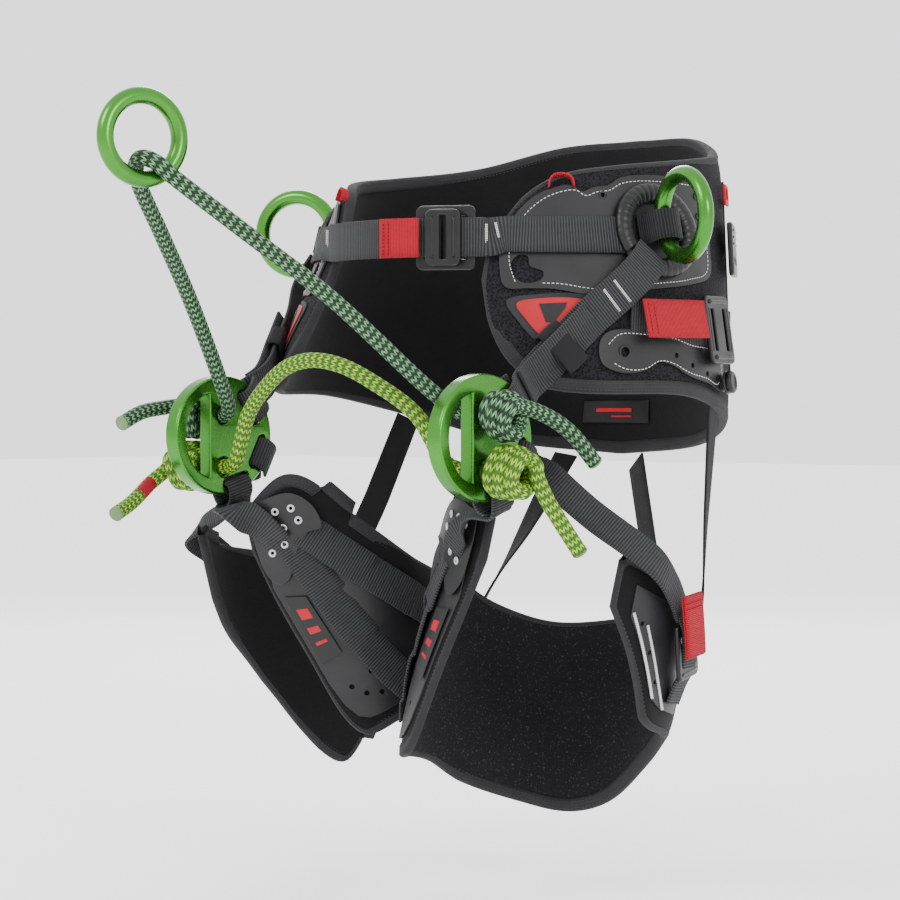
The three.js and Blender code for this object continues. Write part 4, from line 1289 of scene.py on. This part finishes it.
def make_leg_webbing(name, leg):
    """Two ribbed bands fanning out from the horn, a label, and the reflective piping of the side panel."""
    for label, places, rise in LEG_BANDS:
        path = [leg.point(t, z, LEG_PAD + rise) for t, z in places]
        facing = [leg.normal(t, z) for t, z in places]
        runs = tangents(spline(path, 50))

        def wide(t, runs=runs, facing=facing):
            return runs[round(t * 49)].cross(facing[round(t * (len(facing) - 1))])

        band = strap(f"{name}_leg_{label}", path, wide, 26 * MM, 1.9 * MM, "web_grey")
        riding(band, leg.body, "grey_webbing")
    wrapped(f"{name}_leg_label", leg, flat(leg, LEG_LABEL), [], LEG_PAD + 3.4, 0.8, "satin_plastic",
            "laminate")
    for k, (low, high) in enumerate(LEG_LABEL_BARS):
        corners = []
        for u, v in ((0.25, low), (0.75, low), (0.75, high), (0.25, high)):
            corners.append((159 - 10 * u - 10 * v * 1.6, -262 + (8 * u - 51) * v * 1.6))
        wrapped(f"{name}_leg_label_bar_{k + 1}", leg, flat(leg, corners), [], LEG_PAD + 4.1, 0.4, "badge",
                "red_webbing")
    for k, shift in enumerate((0, 9)):
        path = spline([leg.point(t + shift, z - shift, LEG_PAD + 2.4) for t, z in PIPING], 40)
        riding(tube(f"{name}_leg_piping_{k + 1}", path, 1.1 * MM, "reflective", 10), leg.body, "laminate")


# ---------------------------------------------------------------- buckles, tabs and small fittings

# where each fitting sits: angle or turn, height, distance outwards
HIP_HOUSING = (105, 5, 0)
SIDE_BUCKLE, SIDE_TAB = (80, -66, 5.6 + 1.7), (100, -60.5, 9.6 + 1.2)
LEG_BUCKLE, LEG_TAB = (-78, -290, LEG_OFF + 4 + 1.7), (-86, -272, LEG_OFF + 15 + 1.2)
GEAR_HOLDER, GEAR_PANEL = (60, -4, 4.8 + 2), (0, -10, 2.85 + 3.5)
CORD_LOCK, ACCESSORY_LOOP = (74, -104, 3), (62, 30, 2.8)


def spot_belt(side, place):
    angle, z, off = place
    return spot_on(BELT, side * angle, z, off)


def spot_on(surface, station, z, off):
    """Places local mm on a surface: X runs backwards or sideways, Y up it and Z outwards."""
    out = surface.normal(station, z)
    if surface is BELT:
        back = (BELT.point(station - 1, z) - BELT.point(station + 1, z)).normalized()
        out = back.cross((BELT.point(station, z + 1) - BELT.point(station, z - 1)).normalized()).normalized()
        up = out.cross(back)
    else:
        up = V(0, -0.12, 1)
        up = (up - out * up.dot(out)).normalized()
        back = up.cross(out)
    origin = surface.point(station, z) + out * (off * MM)
    return lambda x, y, w: origin + back * (x * MM) + up * (y * MM) + out * (w * MM)


def spot_front(x, off):
    along = V(1, 2 * FRONT_RISE * x, 0).normalized()
    out = along.cross(UP)
    origin = front_point(x, off)
    return lambda u, v, w: origin + along * (u * MM) + UP * (v * MM) + out * (w * MM)


def slotted(name, wide, high, radius, thick, slots, material, spot, bevel=1.1, middle=(0, 0)):
    """A moulded or cut plate with rectangular slots, its edges rounded."""
    x, y = middle
    holes = [rounded_box(x + u, y + v, w, h, min(w, h) * 0.3) for u, v, w, h in slots]
    piece = outline_mesh(name, rounded_box(x, y, wide, high, radius, 8), holes, thick / 2, bevel, material)
    place_mesh(piece, spot)
    return piece


def ridge(name, spot, begin, end, radius, material):
    """A raised rounded bar from one local place to another."""
    a, b = spot(*begin), spot(*end)
    steps = [a.lerp(b, t) for t in np.linspace(0, 1, 12)]
    return tube(name, steps, radius * MM, material, 12)


def buckle(name, node, wide, high, thick, slots, spot, body, grips):
    plate = slotted(f"{name}_moulding", wide, high, 5, thick, slots, "plastic", spot)
    riding(plate, body, "black_plastic", node)
    for k, (begin, end, radius) in enumerate(grips):
        riding(ridge(f"{name}_grip_{k + 1}", spot, begin, end, radius, "plastic"), body, "black_plastic")


def pull_tab(name, node, length, width, spot, upright=False, rows=(0.34, 0.44)):
    """Webbing folded over on itself into a grip, its two layers sewn together near the free end."""
    half, layer, body = length / 2, 0.62, node.replace("_pull", "")

    def at(run, across, lift):
        return spot(across, run, lift) if upright else spot(run, across, lift)

    path = [at(half, 0, layer), at(0.3 * half, 0, layer + 0.35), at(-0.5 * half, 0, layer + 0.2),
            at(-half + 1.2, 0, layer),
            at(-half + 0.2, 0, 0), at(-half + 1.2, 0, -layer), at(0.3 * half, 0, -layer),
            at(half - 1, 0, -layer)]
    across = at(0, 1, 0) - at(0, 0, 0)
    riding(strap(name, path, lambda t: across, (width - 1) * MM, 1.15 * MM, "web_red"), body, "red_webbing",
           node)
    lines = []
    for share in rows:
        run = -half + 2 * half * (1 - share) * 0.98
        points = [at(run, y, layer + 1.0) for y in np.linspace(-width * 0.42, width * 0.42, 30)]
        lines.append((points, [(at(0, 0, 1) - at(0, 0, 0)).normalized()] * 30))
    riding(stitches(f"{name}_stitches", lines, "thread_red", 2.6, 1.9, 0.35), body, "red_webbing")


def make_waist_buckle():
    layer = WEB_THICK / 2 + 0.35
    behind = spot_front(BUCKLE_X, -layer - 4.2)
    buckle("waist_frame", "waist_buckle_frame", 44, 46, 3, [(-13, 0, 5, 31), (13, 0, 5, 31)], behind, "belt",
           [((-19, -19, -0.6), (-19, 19, -0.6), 1.5), ((19, -19, -0.6), (19, 19, -0.6), 1.5)])
    before = spot_front(BUCKLE_X, layer + 1.5)
    buckle("waist_slider", "waist_buckle_slider", 26, 40, 3, [(0, 0, 5, 31)], before, "waist_slider",
           [((-8, -15, 0.9), (-8, 15, 0.9), 1.3), ((8, -15, 0.9), (8, 15, 0.9), 1.3),
            ((-11.2, -15, 0.6), (-11.2, 15, 0.6), 1.0), ((11.2, -15, 0.6), (11.2, 15, 0.6), 1.0)])
    pull_tab("waist_tab_webbing", "waist_pull_tab", 34, 29, spot_front(18, layer + 1.5), rows=(0.72, 0.84))


def make_side_buckles():
    for side, name in SIDES:
        spot = spot_belt(side, SIDE_BUCKLE)
        slots = [(-10, 0, 5, 31), (10, 0, 5, 31)]
        grips = [((-14, z, 1.0), (14, z, 1.0), 1.9) for z in (-20.5, 20.5)]
        grips += [((x, -16, 0.9), (x, 16, 0.9), 1.3) for x in (-16, 16)]
        buckle(f"{name}_side_ladder", f"{name}_side_buckle", 40, 50, 3.4, slots, spot, "belt", grips)
        pull_tab(f"{name}_side_tab_webbing", f"{name}_side_pull_tab", 60 * side, 29,
                 spot_belt(side, SIDE_TAB), rows=(0.84, 0.93))


def make_leg_buckles():
    for side, name in SIDES:
        leg = LEGS[side]
        spot = spot_on(leg, *LEG_BUCKLE)
        grips = [((-13, z, 0.8), (13, z, 0.8), 1.5) for z in (15.5, -15.5)]
        buckle(f"{name}_leg_ladder", f"{name}_leg_buckle", 34, 40, 3.4, [(0, -8, 25, 5), (0, 8, 25, 5)], spot,
               leg.body, grips)
        places = [(-86, -262, 7.5), (-81, -276, 9.6), (-78, -290, 9.8), (-76, -304, 9.4), (-75, -315, 5),
                  (-74, -328, 1.3)]
        path = [leg.point(turn, z, LEG_OFF + off) for turn, z, off in places]
        across = UP.cross(leg.normal(-78, -290))
        band = strap(f"{name}_leg_buckle_webbing", path, lambda t, across=across: across, 23 * MM,
                     WEB_THICK * MM, "web_grey")
        riding(band, leg.body, "grey_webbing")
        pull_tab(f"{name}_leg_tab_webbing", f"{name}_leg_pull_tab", -42, 25, spot_on(leg, *LEG_TAB),
                 upright=True, rows=(0.8, 0.9))


def make_housings():
    """A ribbed ring of rubber round each webbing arch which holds a hip ring."""
    middle, bulge, high, floor, ribs, around = 28.5, 7.5, 7.0, 2.5, 36, 216
    for side, name in SIDES:
        spot = spot_belt(side, HIP_HOUSING)
        rings = []
        for i in range(around + 1):
            turn = 2 * math.pi * i / around
            groove = 0.32 * (1 - abs(math.sin(turn * ribs / 2)) ** 0.5)
            ring = []
            for k in range(25):
                a = math.pi * (1 - k / 24)
                wide, tall = bulge - groove, high - 1.5 - 1.6 * groove
                r, w = middle + wide * math.cos(a), floor + 1.5 + tall * math.sin(a)
                ring.append(spot(r * math.cos(turn), r * math.sin(turn), w))
            for r in (middle + bulge - 0.3, middle - bulge + 0.3):
                ring.append(spot(r * math.cos(turn), r * math.sin(turn), floor))
            rings.append(ring)
        piece = loft(f"{name}_housing_rubber", rings, "plastic", caps=False)
        riding(piece, "belt", "black_plastic", f"{name}_ring_housing")
        reach, foot = 11.5 + 5.75 + 6, floor + 1.6
        half = [(17, foot), (12, foot + 1), (10.5, foot + 6), (9, reach - 4)]
        path = [spot(-x, 0, w) for x, w in half] + [spot(0, 0, reach)]
        path += [spot(x, 0, w) for x, w in half[::-1]]
        across = spot(0, 1, 0) - spot(0, 0, 0)
        arch = strap(f"{name}_arch_webbing", path, lambda t, across=across: across, 22 * MM,
                     WEB_THICK * MM, "web_dark")
        riding(arch, "belt", "grey_webbing", f"{name}_ring_band")


def make_keepers():
    """A short elastic sleeve round each side strap."""
    for side, name in SIDES:
        ends = [(126.3, -68), (130, -80), (133.3, -90)]
        along = [BELT.point(side * a, z, 6.1) for a, z in ends]
        path = [along[0].lerp(along[1], 0.45), along[1], along[1].lerp(along[2], 0.55)]
        facing = BELT.normal(side * 130, -80)
        path = [path[0].lerp(path[2], t) for t in np.linspace(0, 1, 9)]
        run = (path[-1] - path[0]).normalized()
        across = run.cross(facing).normalized()
        up = across.cross(run)

        def contour(grow, centre):
            half, deep, corner = WEB / 2 + 2.5 + grow, 4.2 + grow * 0.75, 2.4
            return [centre + across * (x * MM) + up * (y * MM)
                    for x, y in rounded_box(0, 0, 2 * half, 2 * deep, corner, 4)]

        rings = [contour(1.5 - 0.5 * abs(2 * k / 8 - 1) ** 6, p) for k, p in enumerate(path)]
        rings += [contour(0.1, p) for p in reversed(path)] + [contour(1.0, path[0])]
        piece = loft(f"{name}_keeper_sleeve", rings, "elastic", caps=False)
        riding(piece, "belt", "laminate", f"{name}_strap_keeper")


def make_gear_holders():
    for side, name in SIDES:
        spot = spot_belt(side, GEAR_HOLDER)
        slots = [(-14 + 6, -8, 14, 5), (8 + 6, -8, 14, 5)]
        plate = slotted(f"{name}_holder_moulding", 56, 40, 6, 4, slots, "plastic", spot, 1.3, (-6, 0))
        riding(plate, "belt", "black_plastic", f"{name}_gear_holder")
        for k, height in enumerate((4, 9, 14)):
            bar = ridge(f"{name}_holder_rib_{k + 1}", spot, (-26, height, 1.6), (14, height, 1.6), 1.2,
                        "plastic")
            riding(bar, "belt", "black_plastic")


def turned(name, profile, spot, material):
    """A round part from (radius, height) places, turned about the local Z."""
    steps = 48
    turns = [2 * math.pi * k / steps for k in range(steps)]
    rings = [[spot(r * math.cos(a), r * math.sin(a), w) for a in turns] for r, w in profile]
    return loft(name, rings, material)


def make_cord_locks():
    for side, name in SIDES:
        spot = spot_belt(side, CORD_LOCK)
        body = f"{name}_cord_lock"
        base = [(6.4, -0.8), (6.4, -0.2), (5.8, 0.1), (0.3, 0.1)]
        riding(turned(f"{name}_lock_base", base, spot, "satin_plastic"), "belt", "black_plastic")
        profile = [(0.3, 2.3), (8.1, 2.3), (8.6, 2.6), (8.6, 3.2), (8.0, 3.7), (8.0, 4.3), (8.4, 4.8),
                   (8.3, 7.4), (7.4, 8.6), (5.6, 8.9), (5.0, 8.1), (2.2, 7.8), (0.3, 7.8)]
        riding(turned(f"{name}_lock_barrel", profile, spot, "plastic"), body, "black_plastic", body)


def make_accessory_loops():
    for side, name in SIDES:
        spot = spot_belt(side, ACCESSORY_LOOP)
        loop = slotted(f"{name}_accessory_webbing", 26, 16, 4, 2, [(0, 1, 19, 8)], "web_red",
                       lambda x, y, w: spot(x, y, w + 1), 0.7, (0, 8))
        riding(loop, "belt", "red_webbing", f"{name}_rear_accessory_loop")


def make_rear_panel():
    spot = spot_belt(1, GEAR_PANEL)
    slots = [(x, -12, 15, 6) for x in (-38, -13, 13, 38)]
    plate = slotted("gear_panel_moulding", 110, 46, 8, 7, slots, "plastic", spot, 1.6)
    riding(plate, "belt", "black_plastic", "rear_gear_panel")
    for k, x in enumerate((-45, 0, 45)):
        profile = [(4.6, 2.9), (4.6, 3.9), (3.6, 4.6), (2.0, 4.8), (1.6, 4.2), (0.3, 4.2)]
        head = turned(f"gear_panel_rivet_{k + 1}", profile, lambda u, v, w, x=x: spot(u + x, v + 10, w),
                      "satin_plastic")
        riding(head, "belt", "black_plastic")
    angles = np.linspace(-56, 56, 40)
    edge = [(a, 50) for a in angles]
    edge += [(a, -95 - 20 * math.cos(math.radians(a * 1.6))) for a in reversed(angles)]
    wrapped("back_laminate", BELT, flat(BELT, edge), [], 0.35, 1.6, "laminate", "laminate", "back_plate")


# ---------------------------------------------------------------- labels and small loops

def make_inner_label():
    """A woven label inside the belt, with plain red bars in place of its lettering."""
    outline = flat(BELT, ((-11, -117), (11, -116), (11, -134), (-11, -134)))
    wrapped("inner_label", BELT, outline, [], -PAD - 1.6, 0.8, "satin_plastic", "laminate")
    for k, (first, last, z, high) in enumerate(((-7, 5, -124, 3.2), (-2, 5, -129, 1.4))):
        long = (last - first) * BELT.per_degree
        bar = rounded_box((first + last) / 2 * BELT.per_degree, z, long, high, high * 0.4)
        wrapped(f"inner_label_bar_{k + 1}", BELT, bar, [], -PAD - 2.2, 0.5, "web_red", "red_webbing")


def make_small_loops():
    """A small loop of tape at the front of each wing, sewn down at both its ends."""
    for name, angle, z in (("left_gear_loop", 134.5, 36), ("right_gear_loop", -143, 34)):
        spot = spot_on(BELT, angle, z, 2)
        half = [(9, 0, 0), (8, 5.4, 0.6), (4.5, 8.46, 1.2)]
        path = [spot(-x, y, z) for x, y, z in half] + [spot(*place) for place in half[::-1]]
        across = spot(0, 0, 1) - spot(0, 0, 0)
        loop = strap(name, path, lambda t, across=across: across, 6 * MM, 1.4 * MM, "web_red")
        riding(loop, "belt", "red_webbing")


def bartacks_across(name, path, spots, across, lift, half):
    """Dense white seams across a strap, near the given places of its path."""
    curve = spline(path, 160)
    runs, lines = tangents(curve), []
    for spot in spots:
        k = min(range(160), key=lambda i: (curve[i] - spot).length)
        wide = (across - runs[k] * across.dot(runs[k])).normalized()
        out = runs[k].cross(wide)
        if out.dot(Vector((curve[k].x, curve[k].y + 0.02, 0))) < 0:
            out.negate()
        for shift in (-0.5, 0.5):
            lines.append(([curve[k] + runs[k] * (shift * MM) + wide * (x * MM) + out * (lift * MM)
                           for x in np.linspace(-half, half, 30)], [out] * 30))
    riding(stitches(name, lines, "thread_light", 1.25, 1.1, 0.42), "belt", "grey_webbing")


def make_bartacks():
    for side, name in SIDES:
        spots = [belt_at(side, 150, 3, 4), belt_at(side, 152.6, 3, 4)]
        bartacks_across(f"{name}_waist_bartacks", waist_path(side), spots, UP, 1.3, 10.5)
        path = [belt_at(side, *place) for place in SIDE_PLACES]
        spots = [belt_at(side, 117, -38, 13), belt_at(side, 119, -45, 10.5)]
        across = (path[3] - path[1]).cross(BELT.normal(side * 118, -42))
        bartacks_across(f"{name}_side_bartacks", path, spots, across.normalized(), 1.35, 10.5)


FITTINGS = (make_waist_buckle, make_side_buckles, make_leg_buckles, make_housings, make_keepers,
            make_gear_holders,
            make_cord_locks, make_accessory_loops, make_rear_panel, make_inner_label, make_small_loops,
            make_bartacks)


make_camera()
make_stage()
RINGS = make_rings()
make_bridge("dark", DARK_HALF)
make_bridge("lime", LIME_HALF)
make_bridge_rings()
make_belt_pad()
make_leg_pads()
make_belt_panels()
make_leg_panels()
make_waist_straps()
make_side_straps()
make_leg_straps()
make_risers()
for make_fitting in FITTINGS:
    make_fitting()
